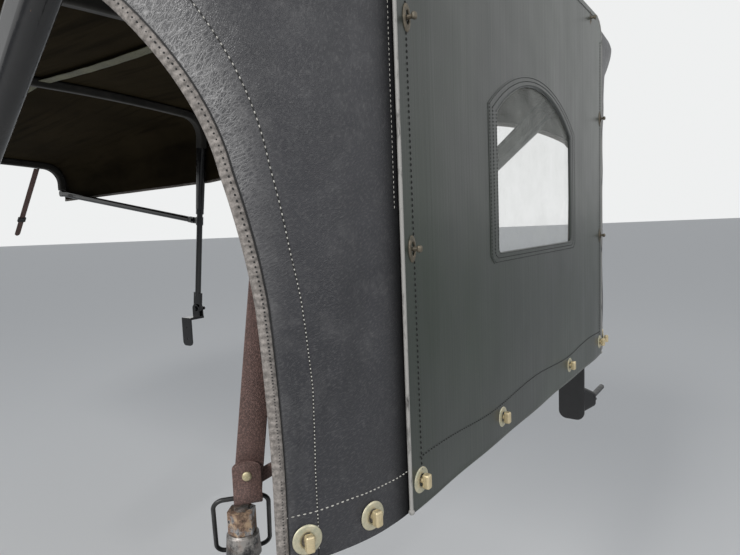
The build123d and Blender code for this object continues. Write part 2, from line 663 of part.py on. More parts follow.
def saddle_nut():
    at = Plane(origin=(BOSS_X, BOSS_Y, BOSS_TOP + GAP))
    nut = extrude(at * RegularPolygon(NUT_FLATS / 2, 6, major_radius=False), NUT_TALL)
    cone = Cone(NUT_FLATS * 0.85, NUT_FLATS * 0.5, 2 * NUT_TALL, align=(Align.CENTER, Align.CENTER, Align.MIN))
    nut &= cone.moved(Location((BOSS_X, BOSS_Y, BOSS_TOP - NUT_TALL * 0.55)))
    return nut - Cylinder(STUD_NUT_R + GAP, 200).moved(Location((BOSS_X, BOSS_Y, 0)))


def strap_directions():
    """Outwards from the ring, and along its width to the front, both level."""
    turn = radians(STRAP_FACE)
    return Vector(-cos(turn), sin(turn), 0), Vector(sin(turn), cos(turn), 0)


def ring_ends():
    """The middles of the ring's lower and upper wires."""
    out, _ = strap_directions()
    axis = Vector(BOSS_X, BOSS_Y, 0)
    behind = BOSS_NECK_R + RING_WIRE / 2 + GAP
    return axis - out * behind + Vector(0, 0, RING_LOW), axis + out * RING_LEAN + Vector(0, 0, RING_HIGH)


def strap_ring():
    """A wire loop that hooks round the back of the boss, pulled up by the strap."""
    low, high = ring_ends()
    _, along = strap_directions()
    up = (high - low).normalized()
    middle = Plane(origin=(low + high) * 0.5, x_dir=along, z_dir=along.cross(up))
    outline = middle * RectangleRounded(RING_WIDE, (high - low).length, RING_BEND)
    path = outline.faces()[0].outer_wire()
    start = Plane(path @ 0, x_dir=middle.z_dir, z_dir=path % 0)
    return sweep(start * Circle(RING_WIRE / 2), path=path)


def strap_frame():
    """The ring's upper wire where the strap turns round it: X outwards, Y up."""
    out, along = strap_directions()
    _, high = ring_ends()
    return Plane(origin=high - along * STRAP_SHIFT, x_dir=out, z_dir=along)


def back_strap():
    """A strap folded round the ring and riveted, then up to the rear bow."""
    at = strap_frame()
    inside = RING_WIRE / 2 + STRAP_SLACK
    outside = inside + STRAP_THICK
    rise = STRAP_FOLD
    layer = -inside + STRAP_THICK
    outline = [
        Line((-outside, rise), (-outside, 0)),
        ThreePointArc((-outside, 0), (0, -outside), (outside, 0)),
        Line((outside, 0), (layer, rise * 0.45)),
        Line((layer, rise * 0.45), (layer, rise)),
        Line((layer, rise), (-outside, rise)),
    ]
    eye = [
        ThreePointArc((-inside, 0), (0, -inside), (inside, 0)),
        Line((inside, 0), (-inside, rise * 0.36)),
        Line((-inside, rise * 0.36), (-inside, 0)),
    ]
    face = make_face(Wire(outline)) - make_face(Wire(eye))
    fold = extrude(at * face, STRAP_WIDE / 2, both=True)
    low = at.offset(0)
    bottom = Plane(origin=low.from_local_coords((-(inside + outside) / 2, rise, 0)), x_dir=at.x_dir, z_dir=(0, 0, 1))
    top = Plane(origin=STRAP_TOP, x_dir=(-1, 0, 0), z_dir=(0, 0, 1))
    strip = loft([bottom * Rectangle(STRAP_THICK, STRAP_WIDE), top * Rectangle(STRAP_THICK, STRAP_WIDE)], ruled=True)
    corners = [e for e in fold.edges().filter_by(lambda e: abs(e.tangent_at(0.5).dot(at.x_dir)) > 0.99)]
    high = [e for e in corners if e.center().Z > at.origin.Z + rise - 1 and e.length > STRAP_THICK * 1.2]
    return fillet(high, STRAP_WIDE * 0.3) + strip if high else fold + strip


def strap_rivet():
    inside = RING_WIRE / 2 + STRAP_SLACK
    at = strap_frame()
    face = Plane(origin=at.from_local_coords((-inside + STRAP_THICK + GAP, RIVET_UP, 0)), x_dir=at.z_dir, z_dir=at.x_dir)
    return extrude(face * Circle(RIVET_R), RIVET_THICK)


def make_irons():
    singles = {
        "rear_iron": rear_iron(),
        "front_iron": front_iron(),
        "clamp_bolt": clamp_bolt(),
        "saddle_iron": saddle_iron(),
        "saddle_nut": saddle_nut(),
        "strap_ring": strap_ring(),
        "back_strap": back_strap(),
        "strap_rivet": strap_rivet(),
    }
    for part_name, left in singles.items():
        for name, side in SIDES:
            save(f"{part_name}_{name}", on_side(left, side))
    between = (THIRD_HALF + THIRD_EYE / 2 + GAP, REAR_HALF - REAR_EYE / 2 - GAP)
    ring = cylinder_y(PIVOT_X, PIVOT_Z, 15, *between)
    ring -= cylinder_y(PIVOT_X, PIVOT_Z, STUD_R + GAP, between[0] - 5, between[1] + 5)
    save("pivot_spacers", group(on_side(ring, side) for _, side in SIDES))
    out = REAR_HALF + REAR_EYE / 2 + GAP
    at = Plane(origin=(PIVOT_X, out, PIVOT_Z), x_dir=(1, 0, 0), z_dir=(0, 1, 0))
    nut = extrude(at * RegularPolygon(14, 6, major_radius=False), 11)
    nut -= cylinder_y(PIVOT_X, PIVOT_Z, STUD_R + GAP, out - 5, out + 30)
    save("pivot_nuts", group(on_side(nut, side) for _, side in SIDES))


def webbing(x_a, z_a, x_b, z_b):
    low = WEB_WIDE / 2
    at = Plane(origin=(x_a, 0, z_a), x_dir=(0, 1, 0), z_dir=(x_b - x_a, 0, z_b - z_a))
    return extrude(at * Rectangle(2 * low, WEB_THICK), hypot(x_b - x_a, z_b - z_a))


def front_strap_frame():
    """The top of the left front strap, under the front bow: Z points back up the strap."""
    fall = (FRONT_STRAP_Y + STRAP_WIDE / 2) ** 2 / (2 * (CROWN_R - 30))
    lean = radians(FRONT_STRAP_LEAN)
    low = FRONT_Z - BOWS["front"][4] / 2 - fall - GAP - STRAP_THICK / 2 * sin(lean)
    return Plane(origin=(FRONT_X, FRONT_STRAP_Y, low), x_dir=(0, 1, 0), z_dir=(-sin(lean), 0, cos(lean)))


def front_strap():
    return extrude(front_strap_frame() * Rectangle(STRAP_WIDE, STRAP_THICK), -FRONT_STRAP_LONG)


def front_buckle():
    """A flat buckle round the strap."""
    at = front_strap_frame().offset(-BUCKLE_AT)
    frame = RectangleRounded(STRAP_WIDE + 12, STRAP_THICK + 10, 4) - Rectangle(STRAP_WIDE + 2 * GAP, STRAP_THICK + 2 * GAP)
    return extrude(at * frame, -26)


def make_straps():
    for part_name, left in {"front_strap": front_strap(), "front_buckle": front_buckle()}.items():
        for name, side in SIDES:
            save(f"{part_name}_{name}", on_side(left, side))
    spans = {"rear": ("rear", "third"), "mid": ("third", "main"), "front": ("main", "front")}
    for name, (near, far) in spans.items():
        save(f"webbing_{name}", webbing(*bow_side(near, 1), *bow_side(far, -1)))


def main():
    os.makedirs("parts", exist_ok=True)
    make_cover()
    make_fasteners()
    make_rear_and_third()
    make_main()
    make_front()
    make_irons()
    make_straps()


main()
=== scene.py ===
"""Finish of a touring car's folding top, raised: leather quarters, rear curtain with its window,
roof cloth, bows, straps, fasteners and irons, round the fixed frame."""

import math

import bmesh
import bpy
import numpy as np
from mathutils import Matrix, Vector, noise


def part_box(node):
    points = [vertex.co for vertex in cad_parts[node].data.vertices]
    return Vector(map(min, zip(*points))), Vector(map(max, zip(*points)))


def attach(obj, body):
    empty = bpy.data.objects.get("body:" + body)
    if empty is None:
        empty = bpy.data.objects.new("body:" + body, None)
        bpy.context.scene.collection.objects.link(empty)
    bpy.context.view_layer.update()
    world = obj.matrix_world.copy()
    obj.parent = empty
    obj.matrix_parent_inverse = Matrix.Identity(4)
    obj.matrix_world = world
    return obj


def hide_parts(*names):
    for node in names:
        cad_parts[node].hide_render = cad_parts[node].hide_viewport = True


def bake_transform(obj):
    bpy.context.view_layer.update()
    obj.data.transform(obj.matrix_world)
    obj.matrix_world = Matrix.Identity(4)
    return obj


bl_info = {
    "name": "Touring Car Folding Top",
    "version": (1, 0, 0),
    "blender": (4, 5, 0),
    "location": "View3D > Sidebar > Folding Top",
    "description": "Builds the cloth, leather, straps and fasteners of a raised folding top",
    "category": "Object",
}

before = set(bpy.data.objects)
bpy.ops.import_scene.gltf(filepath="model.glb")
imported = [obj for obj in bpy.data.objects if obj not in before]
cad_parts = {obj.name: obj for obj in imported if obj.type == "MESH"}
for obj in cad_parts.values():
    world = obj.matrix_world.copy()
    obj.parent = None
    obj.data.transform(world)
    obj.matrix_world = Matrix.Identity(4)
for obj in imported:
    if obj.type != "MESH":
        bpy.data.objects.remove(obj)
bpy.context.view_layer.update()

# The cover's shape, in metres, as the frame has it
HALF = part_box("deck_mid")[1].y
CLOTH, GAP = 0.003, 0.0003
CORNER_R, TOP_CORNER_R = 0.240, 0.110
# Heights between which the rear corner tightens, front to back and side to side
CORNER_DEEP, CORNER_WIDE = (0.470, 0.650), (0.600, 0.660)
CROWN_R = 6.5
HEM_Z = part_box("rear_curtain")[0].z
SEAM_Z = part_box("quarter_left")[1].z
RETURN_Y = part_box("quarter_left")[0].y
CURTAIN_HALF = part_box("rear_curtain")[1].y
CURTAIN_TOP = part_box("rear_curtain")[1].z
# The opening that the curtain closes: half its width, and its top
LIGHT_HALF, LIGHT_TOP = 0.340, 0.610
# A quarter's front edge seen from the side, as (x, z): ends and middles of its arcs
FRONT_EDGE = [
    (0.0482, 0.020), (0.0492, 0.130), (0.0520, 0.215),
    (0.0565, 0.262), (0.0672, 0.330),
    (0.0895, 0.405), (0.1385, 0.474),
    (0.253, 0.527), (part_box("quarter_left")[1].x, SEAM_Z),
]
# The cover over the bows, as (x, inside height at the middle, lower edge, edge radius)
SECTIONS = {
    "rear": (0.0, 0.6919, 0.555, 0.076),
    "third": (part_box("deck_mid")[0].x, 0.7608, 0.545, 0.105),
    "main": (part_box("deck_front")[0].x, 0.7852, 0.492, 0.110),
    "front": (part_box("deck_front")[1].x, 0.6893, 0.482, 0.106),
}
# The window's pane: half width, bottom, where the arch springs, and its top
PANE = (0.165, 0.239, 0.425, 0.482)
# The width of the window's patch above the pane, and beside it, and its rows as shares of that width
PATCH_RIM, PATCH_SIDE = 0.014, 0.028
PATCH_ROWS = (0.13, 0.52, 0.90)
# How much the curtain's hole passes the pane, and how far the pane reaches on under the patch
HOLE_GROW, PANE_TUCK = 0.006, 0.004
WEBBING_WIDE, WEBBING_THICK = 0.034, 0.002

# Fasteners on the curtain, as (y, z), and round a quarter's corner, in degrees
LOWER_ROW = [(0.385, 0.008), (0.160, 0.008), (-0.160, 0.008), (-0.385, 0.008)]
EDGE_ROW = [(0.389, 0.257), (0.386, 0.487), (-0.386, 0.487), (-0.386, 0.241)]
TOP_ROW = [(0.310, 0.672), (-0.310, 0.672)]
QUARTER_ROW = [13.5, 30.4]
# How the quarter's inner seam drifts: length along the edge, and what it adds to its inset
SEAM_DRIFT = [
    (0.0, -0.0040), (0.09, -0.0030), (0.16, 0.0), (0.28, -0.0035), (0.36, 0.0), (0.43, 0.0050),
    (0.50, 0.0090), (0.82, 0.0100),
]
# From one stitch to the next. Two rows sit closer near the hem, as (length from the hem, pitch)
SEAM_PITCH = ((0.0, 0.0035), (0.18, 0.0036), (0.25, 0.0042), (0.33, 0.0058))
BINDING_PITCH = ((0.0, 0.0027), (0.18, 0.0028), (0.26, 0.0040), (0.33, 0.0052))
HEM_PITCH, BACK_PITCH, CURTAIN_PITCH, WINDOW_PITCH = 0.0052, 0.0048, 0.0058, 0.0046
# The quarter's rows: its hem's height above the lower edge, and the distance from the curtain and the
# lower end of the seam beside it
HEM_ROW_UP, BACK_ROW_IN, BACK_ROW_Z = 0.0465, 0.0075, 0.30
# The curtain's rows: the side seams' distance from the edge, what they add at the foot and over what
# length that fades, then the low row's height and wave, and the top row's distance from the edge
SIDE_ROW_IN, SIDE_ROW_FLARE, SIDE_ROW_LONG = 0.016, 0.006, 0.7
LOW_ROW_Z, LOW_ROW_WAVE, TOP_ROW_DOWN = 0.030, 0.004, 0.010
ROOF_ROW_UP = 0.036
# How far a stitched row lies off the cloth
SEWN_OFF = 0.0004
# Radii of the dark tube that paints the shade in the groove under a row, of the curtain's rolled hem, and of
# the knot below a welt
SHADE_LINE_R, ROLL_R, KNOT_R = 0.0008, 0.0024, 0.0034
# The crushed band along a quarter's edge: lengths from the hem, and its width and its strength there
CRUSH_WIDE = (0.20, 0.46), (0.013, 0.050)
CRUSH_STRENGTH = (0.30, 0.52), (0.50, 1.35)
# How far the quarter's leather is painted dark with shade, and made dull, beside the curtain
SHADE_WIDE = 0.021

# Fields of cloth from one body to the next, as (body, body, start, end)
DECK_FIELDS = {
    "rear": ("rear_bow", "third_bow", (0.43, 0, 0), (0.79, 0, 0)),
    "mid": ("third_bow", "main_bow", (0.83, 0, 0), (1.58, 0, 0)),
    "front": ("main_bow", "front_bow", (1.62, 0, 0), (2.78, 0, 0)),
}
SIDES = (("left", 1), ("right", -1))
BACK = np.array([-1.0, 0, 0])


# Sizes and colours a user would change


def tint(name, description, default):
    return bpy.props.FloatVectorProperty(
        name=name, description=description, subtype="COLOR", size=3, default=default)


def measure(name, description, default):
    return bpy.props.FloatProperty(
        name=name, description=description, subtype="DISTANCE", unit="LENGTH", default=default)


class TopLeatherSettings(bpy.types.PropertyGroup):
    colour: tint("Leather", "Colour of the quarters' and roof's outside", (0.022, 0.022, 0.026))
    # The pale creases' colour is wear and partly a painted highlight; dust and grain use it too
    wear_and_highlight_colour: tint("Worn leather", "Colour of the creases near the quarters' edges", (0.46, 0.45, 0.44))
    lining_colour: tint("Lining", "Colour of the cloth seen from inside", (0.022, 0.0165, 0.0085))
    binding_colour: tint("Binding", "Colour of the strip sewn round the edges", (0.25, 0.225, 0.205))
    binding_wide: measure("Binding width", "How far the binding reaches from the edge", 0.010)
    seam_inset: measure("Inner seam", "The inner stitched line's distance from the edge", 0.042)
    sag: measure("Sag", "How far the roof cloth sinks between two bows", 0.006)


class TopCurtainSettings(bpy.types.PropertyGroup):
    colour: tint("Curtain", "Colour of the rear curtain", (0.018, 0.021, 0.019))
    # The welt's pale colour is a painted highlight along the piping
    welt_colour: tint("Welt", "Colour of the worn piping on the curtain's edges", (0.34, 0.33, 0.31))
    welt_radius: measure("Welt radius", "Radius of the piping on the curtain's edges", 0.0021)
    corner_radius: measure("Top corner", "Radius of the curtain's upper corners", 0.045)


class TopStitchSettings(bpy.types.PropertyGroup):
    pitch: measure("Pitch", "Distance from one stitch of the roof's edges to the next", 0.0066)
    length: measure("Stitch", "Visible length of a stitch", 0.0040)
    radius: measure("Thread radius", "Radius of the sewing thread", 0.00065)
    pale_colour: tint("Pale thread", "Thread of the quarters", (0.55, 0.53, 0.48))
    dark_colour: tint("Dark thread", "Thread of the curtain and of the binding", (0.012, 0.012, 0.012))


class TopMetalSettings(bpy.types.PropertyGroup):
    paint_colour: tint("Paint", "Gloss paint of the tubes and irons", (0.008, 0.008, 0.009))
    washer_colour: tint("Fasteners", "Worn plating of the hem row's washers", (0.60, 0.55, 0.40))
    rust_colour: tint("Rust", "Rust of the nuts on the rear corners", (0.18, 0.115, 0.08))
    washer_radius: measure("Washer radius", "Outer radius of a fastener's washer", 0.01425)
    button_stand: measure("Button height", "How far a turn button stands off the cloth", 0.012)


class TopStrapSettings(bpy.types.PropertyGroup):
    colour: tint("Strap", "Colour of the leather straps", (0.080, 0.048, 0.041))
    webbing_colour: tint("Webbing", "Colour of the webbing under the roof", (0.13, 0.125, 0.055))


SETTINGS = {
    "top_leather": TopLeatherSettings,
    "top_curtain": TopCurtainSettings,
    "top_stitch": TopStitchSettings,
    "top_metal": TopMetalSettings,
    "top_strap": TopStrapSettings,
}


# Materials


class Finish:
    """A material under construction: one shader, its coordinates, and its stack of bumps."""

    def __init__(self, name, **sockets):
        self.material = bpy.data.materials.new(name)
        self.material.use_nodes = True
        self.nodes = self.material.node_tree.nodes
        self.links = self.material.node_tree.links
        self.shader = self.nodes["Principled BSDF"]
        for socket, value in sockets.items():
            self.set(socket.replace("_", " "), value)
        self.coordinates = self.nodes.new("ShaderNodeTexCoord")
        self.normal = None

    def feed(self, socket, value):
        """Gives a socket a link or a value. A colour gets its alpha."""
        if isinstance(value, bpy.types.NodeSocket):
            self.links.new(value, socket)
            return
        socket.default_value = (*value, 1.0) if socket.type == "RGBA" and len(value) == 3 else value

    def set(self, socket, value):
        self.feed(self.shader.inputs[socket], value)

    def node(self, kind, inputs, **options):
        made = self.nodes.new(kind)
        for option, value in options.items():
            setattr(made, option, value)
        for socket, value in inputs.items():
            self.feed(made.inputs[socket], value)
        return made

    def at(self, scale=(1, 1, 1), coordinates="Object"):
        """Coordinates stretched by a scale, of the object or of its own UV map."""
        source = self.coordinates.outputs[coordinates]
        return self.node("ShaderNodeMapping", {"Vector": source, "Scale": scale}).outputs[0]

    def height(self):
        """Metres above the frame's origin, at the belt rail."""
        return self.node("ShaderNodeSeparateXYZ", {0: self.coordinates.outputs["Object"]}).outputs["Z"]

    def grain(self, scale, detail=3.0, roughness=0.55, distortion=0.0, where=None):
        """Cloudy noise from 0 to 1, its scale in clouds a metre."""
        inputs = {"Scale": scale, "Detail": detail, "Roughness": roughness, "Distortion": distortion}
        inputs["Vector"] = where or self.at()
        return self.node("ShaderNodeTexNoise", inputs).outputs["Fac"]

    def cells(self, scale, where=None, feature="DISTANCE_TO_EDGE"):
        inputs = {"Scale": scale, "Vector": where or self.at()}
        return self.node("ShaderNodeTexVoronoi", inputs, feature=feature).outputs["Distance"]

    def ribs(self, scale, direction, bands="X"):
        """Parallel ribs on the UV map, which the direction stretches."""
        inputs = {"Scale": scale, "Vector": self.at(direction, "UV")}
        return self.node("ShaderNodeTexWave", inputs, bands_direction=bands).outputs["Fac"]

    def ramp(self, value, low, high, to_low=0.0, to_high=1.0):
        """A value brought from low..high to to_low..to_high, and held there."""
        inputs = {"Value": value, "From Min": low, "From Max": high, "To Min": to_low, "To Max": to_high}
        return self.node("ShaderNodeMapRange", inputs).outputs["Result"]

    def math(self, operation, a, b):
        return self.node("ShaderNodeMath", {0: a, 1: b}, operation=operation).outputs[0]

    def times(self, a, b):
        return self.math("MULTIPLY", a, b)

    def vector(self, operation, a, b):
        """Two vectors joined by an operation, or one scaled by a number."""
        second = "Scale" if operation == "SCALE" else 1
        return self.node("ShaderNodeVectorMath", {0: a, second: b}, operation=operation).outputs[0]

    def mix(self, share, a, b):
        """Colour a turning to colour b as share goes from 0 to 1."""
        return self.node("ShaderNodeMix", {0: share, 6: a, 7: b}, data_type="RGBA").outputs[2]

    def laid(self, base, colour, mask, low, high, most=1.0):
        """A colour laid over the base where the mask passes low, and as far as most from high on."""
        return self.mix(self.ramp(mask, low, high, 0.0, most), base, colour)

    def attribute(self, name):
        return self.node("ShaderNodeAttribute", {}, attribute_name=name).outputs["Fac"]

    def bump(self, height, distance, strength=1.0):
        """Adds relief: height 0 to 1, over a distance in metres."""
        inputs = {"Height": height, "Distance": distance, "Strength": strength}
        if self.normal is not None:
            inputs["Normal"] = self.normal
        self.normal = self.node("ShaderNodeBump", inputs).outputs["Normal"]
        self.set("Normal", self.normal)


def shade(colour, factor):
    return tuple(min(1.0, c * factor) for c in colour)


def leather_finish(settings):
    """Charcoal coated leather: pebbles all over, a crush of pale creases where near_edge is high, worn and
    partly a painted highlight, and painted shade beside the curtain.
    """
    f = Finish("black_pebbled_leather", Specular_IOR_Level=0.45, Sheen_Weight=0.10, Sheen_Roughness=0.45)
    near, back = f.attribute("near_edge"), f.attribute("near_back")
    worn = settings.wear_and_highlight_colour
    cloud = f.grain(5.0, 4.0, 0.6)
    dust = f.grain(38.0, 6.0, 0.65)
    pebble = f.cells(760.0, where=f.at((1, 1, 0.8)))
    flat = f.at((1, 1, 1), "UV")
    wander = f.node("ShaderNodeTexNoise", {"Scale": 28.0, "Detail": 1.0, "Vector": flat}).outputs["Color"]
    push = f.vector("SCALE", f.vector("SUBTRACT", wander, (0.5, 0.5, 0.5)), 0.011)
    warped = f.vector("ADD", flat, push)

    def drawn(angle, long, wide):
        """Wandering coordinates, turned, in which one unit is that long and wide in metres."""
        inputs = {"Vector": warped, "Rotation": (0, 0, angle), "Scale": (long, wide, 1)}
        return f.node("ShaderNodeMapping", inputs, vector_type="TEXTURE").outputs[0]

    def creases(width, angle, long, wide):
        """The lines between drawn-out cells, as a share of a cell wide."""
        return f.ramp(f.cells(1.0, where=drawn(angle, long, wide)), 0.0, width, 1.0, 0.0)

    drag = f.grain(1.0, 3.0, 0.6, where=drawn(0.32, 0.0040, 0.0016))
    patch = f.ramp(f.grain(17.0, 3.0), 0.42, 0.66)
    crushed = f.times(f.math("POWER", near, 1.5), f.ramp(patch, 0.0, 1.0, 0.40, 0.85))
    fine = f.times(creases(0.18, 0.55, 0.0062, 0.0022), 0.6)
    lines = f.times(f.math("MAXIMUM", creases(0.15, 0.15, 0.0095, 0.0031), fine), crushed)
    base = f.mix(cloud, shade(settings.colour, 0.75), shade(settings.colour, 1.5))
    base = f.laid(base, shade(worn, 0.6), dust, 0.52, 0.8, 0.16)
    base = f.laid(base, shade(worn, 0.4), drag, 0.50, 0.74, 0.28)
    # Wear and painted highlight: the band along the edge is lightened and its crease lines drawn pale
    base = f.mix(f.times(near, 0.32), base, shade(worn, 0.45))
    base = f.mix(lines, base, worn)
    # Painted shade: the leather turns near black beside the curtain, where shade falls
    f.set("Base Color", f.mix(f.times(back, 0.92), base, (0.003, 0.003, 0.003)))
    f.set("Roughness", f.math("ADD", f.ramp(cloud, 0.3, 0.7, 0.33, 0.52), f.times(back, 0.4)))
    f.set("Specular IOR Level", f.ramp(back, 0.0, 1.0, 0.45, 0.02))
    f.bump(f.ramp(f.grain(9.0, 3.0), 0.3, 0.7), 0.0045, 0.6)
    f.bump(drag, 0.0004, 0.6)
    f.bump(f.ramp(pebble, 0.0, 0.35), 0.0002, 0.7)
    f.bump(lines, 0.0010, 1.0)
    return f.material


def lining_finish(settings):
    """Brown olive canvas with a plain weave, and drawn creases darkened as painted shade."""
    f = Finish("brown_olive_canvas", Roughness=0.95, Specular_IOR_Level=0.04)
    colour = settings.lining_colour
    drawn = f.grain(1.0, 4.0, 0.6, 0.4, where=f.at((2.2, 30, 6)))
    base = f.laid(shade(colour, 0.7), shade(colour, 1.2), f.grain(3.0, 4.0), 0.3, 0.7)
    # Painted shade: the colour is darkened along the drawn creases
    f.set("Base Color", f.laid(base, shade(colour, 0.25), drawn, 0.5, 0.72, 0.7))
    f.bump(f.times(f.ribs(190.0, (1, 0, 0)), f.ribs(190.0, (0, 1, 0), "Y")), 0.0003, 0.6)
    f.bump(drawn, 0.004, 0.7)
    return f.material


def binding_finish(settings):
    """Worn grey-brown leather strip, scuffed pale on its fold and puckered between its stitches."""
    f = Finish("worn_binding", Roughness=0.62, Specular_IOR_Level=0.35)
    colour = settings.binding_colour
    scuff = f.grain(240.0, 5.0, 0.7)
    base = f.laid(shade(colour, 0.6), shade(colour, 1.35), scuff, 0.4, 0.66)
    f.set("Base Color", f.laid(base, shade(colour, 0.55), f.grain(22.0, 3.0), 0.5, 0.75, 0.6))
    f.bump(f.ribs(47.6, (1, 1, 1), "Y"), 0.0009, 0.8)
    f.bump(scuff, 0.0004, 0.7)
    f.bump(f.cells(900.0), 0.0002, 0.6)
    return f.material


def curtain_finish(settings):
    """Smooth satin cloth, faintly streaked from top to bottom, with specks of dust."""
    f = Finish("satin_curtain_cloth", Specular_IOR_Level=0.5, Sheen_Weight=0.06, Coat_Weight=0.12,
               Coat_Roughness=0.3)
    colour = settings.colour
    streak = f.grain(1.0, 4.0, 0.6, 0.3, where=f.at((60, 190, 3.0)))
    green = (colour[0] * 1.1, colour[1] * 1.45, colour[2] * 0.95)
    base = f.laid(colour, green, f.grain(3.2, 4.0), 0.3, 0.7)
    base = f.laid(base, shade(colour, 2.4), streak, 0.45, 0.75, 0.35)
    speck = f.ramp(f.cells(90.0, feature="F1"), 0.02, 0.05, 0.7, 0.0)
    f.set("Base Color", f.mix(speck, base, (0.16, 0.15, 0.13)))
    f.set("Roughness", f.ramp(streak, 0.3, 0.7, 0.33, 0.43))
    f.bump(f.ramp(f.grain(5.0, 2.0), 0.3, 0.7), 0.005, 0.45)
    f.bump(streak, 0.0005, 0.5)
    f.bump(f.grain(1300.0, 2.0), 0.00008, 0.6)
    return f.material


def welt_finish(settings):
    """Piping made pale as a painted highlight along the curtain's edges, darker in patches."""
    f = Finish("piping_painted_highlight", Roughness=0.55, Specular_IOR_Level=0.4)
    left = f.grain(1.0, 4.0, 0.6, where=f.at((150, 150, 38)))
    # Painted highlight: the pale colour stands for light along the piping; noise darkens it in patches
    f.set("Base Color", f.laid(settings.welt_colour, shade(settings.welt_colour, 0.14), left, 0.55, 0.72))
    f.bump(f.grain(420.0, 3.0), 0.0004, 0.6)
    return f.material


def thread_finish(name, colour):
    """Waxed thread, soiled in places."""
    f = Finish(name, Roughness=0.7, Specular_IOR_Level=0.3, Sheen_Weight=0.2)
    f.set("Base Color", f.laid(colour, shade(colour, 0.45), f.grain(260.0, 3.0), 0.45, 0.75))
    f.bump(f.grain(2600.0, 1.0), 0.0001, 0.8)
    return f.material


def pane_finish():
    """Clear sheet, a little clouded and scratched with age."""
    f = Finish("clear_window_sheet", Roughness=0.06, IOR=1.45, Specular_IOR_Level=0.5)
    haze = f.grain(9.0, 5.0, 0.6)
    scratch = f.grain(1.0, 2.0, where=f.at((30, 420, 60)))
    f.set("Base Color", f.mix(haze, (0.55, 0.58, 0.56), (0.72, 0.73, 0.66)))
    f.set("Alpha", f.math("ADD", f.ramp(haze, 0.4, 0.8, 0.10, 0.24), f.ramp(scratch, 0.66, 0.7, 0.0, 0.10)))
    f.bump(f.grain(6.0, 2.0), 0.004, 0.4)
    return f.material


def paint_finish(settings):
    """Old gloss black paint: dust, and chips down to rust."""
    f = Finish("gloss_black_paint", Specular_IOR_Level=0.32, Coat_Weight=0.35, Coat_Roughness=0.07)
    dust = f.grain(30.0, 6.0, 0.7)
    chipped = f.ramp(f.grain(150.0, 4.0, 0.65), 0.70, 0.73)
    base = f.laid(settings.paint_colour, (0.07, 0.066, 0.058), dust, 0.5, 0.8, 0.15)
    f.set("Base Color", f.mix(chipped, base, shade(settings.rust_colour, 0.7)))
    f.set("Roughness", f.ramp(dust, 0.35, 0.75, 0.12, 0.30))
    f.bump(f.grain(14.0, 3.0), 0.0012, 0.35)
    f.bump(chipped, 0.0002, 0.8)
    return f.material


def iron_finish(settings):
    """The rear corners' irons: black paint, rubbed to bright steel round the top of the boss."""
    f = Finish("rubbed_black_iron", Specular_IOR_Level=0.5)
    height = f.height()
    wear = f.grain(75.0, 6.0, 0.72)
    bare = f.times(f.ramp(height, -0.040, -0.018), f.ramp(wear, 0.40, 0.56))
    rust = f.ramp(f.grain(70.0, 4.0), 0.5, 0.68, 0.0, 0.8)
    rusty = f.times(rust, f.ramp(height, -0.030, -0.008))
    base = f.mix(bare, settings.paint_colour, (0.34, 0.32, 0.30))
    f.set("Base Color", f.mix(rusty, base, settings.rust_colour))
    f.set("Metallic", f.times(bare, f.ramp(rusty, 0.0, 0.5, 0.9, 0.0)))
    f.set("Roughness", f.ramp(wear, 0.3, 0.7, 0.28, 0.55))
    f.bump(f.grain(260.0, 4.0), 0.0006, 0.5)
    return f.material


def rust_finish(settings):
    """A hexagon nut, rusted, tan and sooty in patches, with plating left in others."""
    f = Finish("rusted_nut", Specular_IOR_Level=0.4)
    colour = settings.rust_colour
    plate = f.ramp(f.grain(85.0, 5.0, 0.7), 0.50, 0.60)
    fine = f.grain(420.0, 4.0, 0.7)
    base = f.laid(shade(colour, 0.45), shade(colour, 1.5), fine, 0.35, 0.65)
    base = f.laid(base, (0.46, 0.33, 0.21), f.grain(130.0, 3.0), 0.50, 0.66, 0.85)
    base = f.mix(plate, base, (0.38, 0.39, 0.40))
    f.set("Base Color", f.laid(base, (0.012, 0.011, 0.010), f.grain(170.0, 4.0, 0.65), 0.56, 0.64))
    f.set("Metallic", f.ramp(plate, 0.0, 1.0, 0.0, 0.75))
    f.set("Roughness", f.ramp(plate, 0.0, 1.0, 0.85, 0.38))
    f.bump(fine, 0.0007, 0.8)
    f.bump(plate, 0.0003, 0.5)
    return f.material


def plating_finish(name, colour, tarnish, roughness):
    """Dull plating with tarnish in patches."""
    f = Finish(name, Specular_IOR_Level=0.5)
    stain = f.grain(130.0, 5.0, 0.7)
    f.set("Base Color", f.laid(colour, tarnish, stain, 0.42, 0.7))
    f.set("Metallic", f.ramp(stain, 0.4, 0.7, 0.75, 0.35))
    f.set("Roughness", f.ramp(stain, 0.3, 0.7, roughness, roughness + 0.2))
    f.bump(f.grain(500.0, 4.0), 0.0002, 0.6)
    return f.material


def strap_finish(settings):
    """Brown strap leather with a coarse pebble, dry and pale on its high points."""
    f = Finish("brown_strap_leather", Specular_IOR_Level=0.35)
    colour = settings.colour
    dry = f.grain(640.0, 4.0, 0.7)
    base = f.laid(shade(colour, 0.7), shade(colour, 1.25), f.grain(16.0, 3.0), 0.3, 0.7)
    f.set("Base Color", f.laid(base, shade(colour, 3.2), dry, 0.46, 0.62, 0.6))
    f.set("Roughness", f.ramp(dry, 0.3, 0.7, 0.5, 0.7))
    f.bump(f.ramp(f.cells(620.0), 0.0, 0.4), 0.0003, 0.9)
    f.bump(f.grain(60.0, 3.0), 0.0008, 0.4)
    return f.material


def webbing_finish(settings):
    """Woven cotton tape with slanting ribs, soiled in places."""
    f = Finish("olive_webbing", Roughness=0.88, Specular_IOR_Level=0.2, Sheen_Weight=0.3)
    colour = settings.webbing_colour
    ribs = f.ribs(160.0, (1, 0.4, 0))
    base = f.laid(colour, shade(colour, 0.45), f.grain(12.0, 4.0), 0.35, 0.7)
    f.set("Base Color", f.mix(f.times(ribs, 0.3), base, shade(colour, 0.3)))
    f.bump(ribs, 0.0006, 0.7)
    return f.material


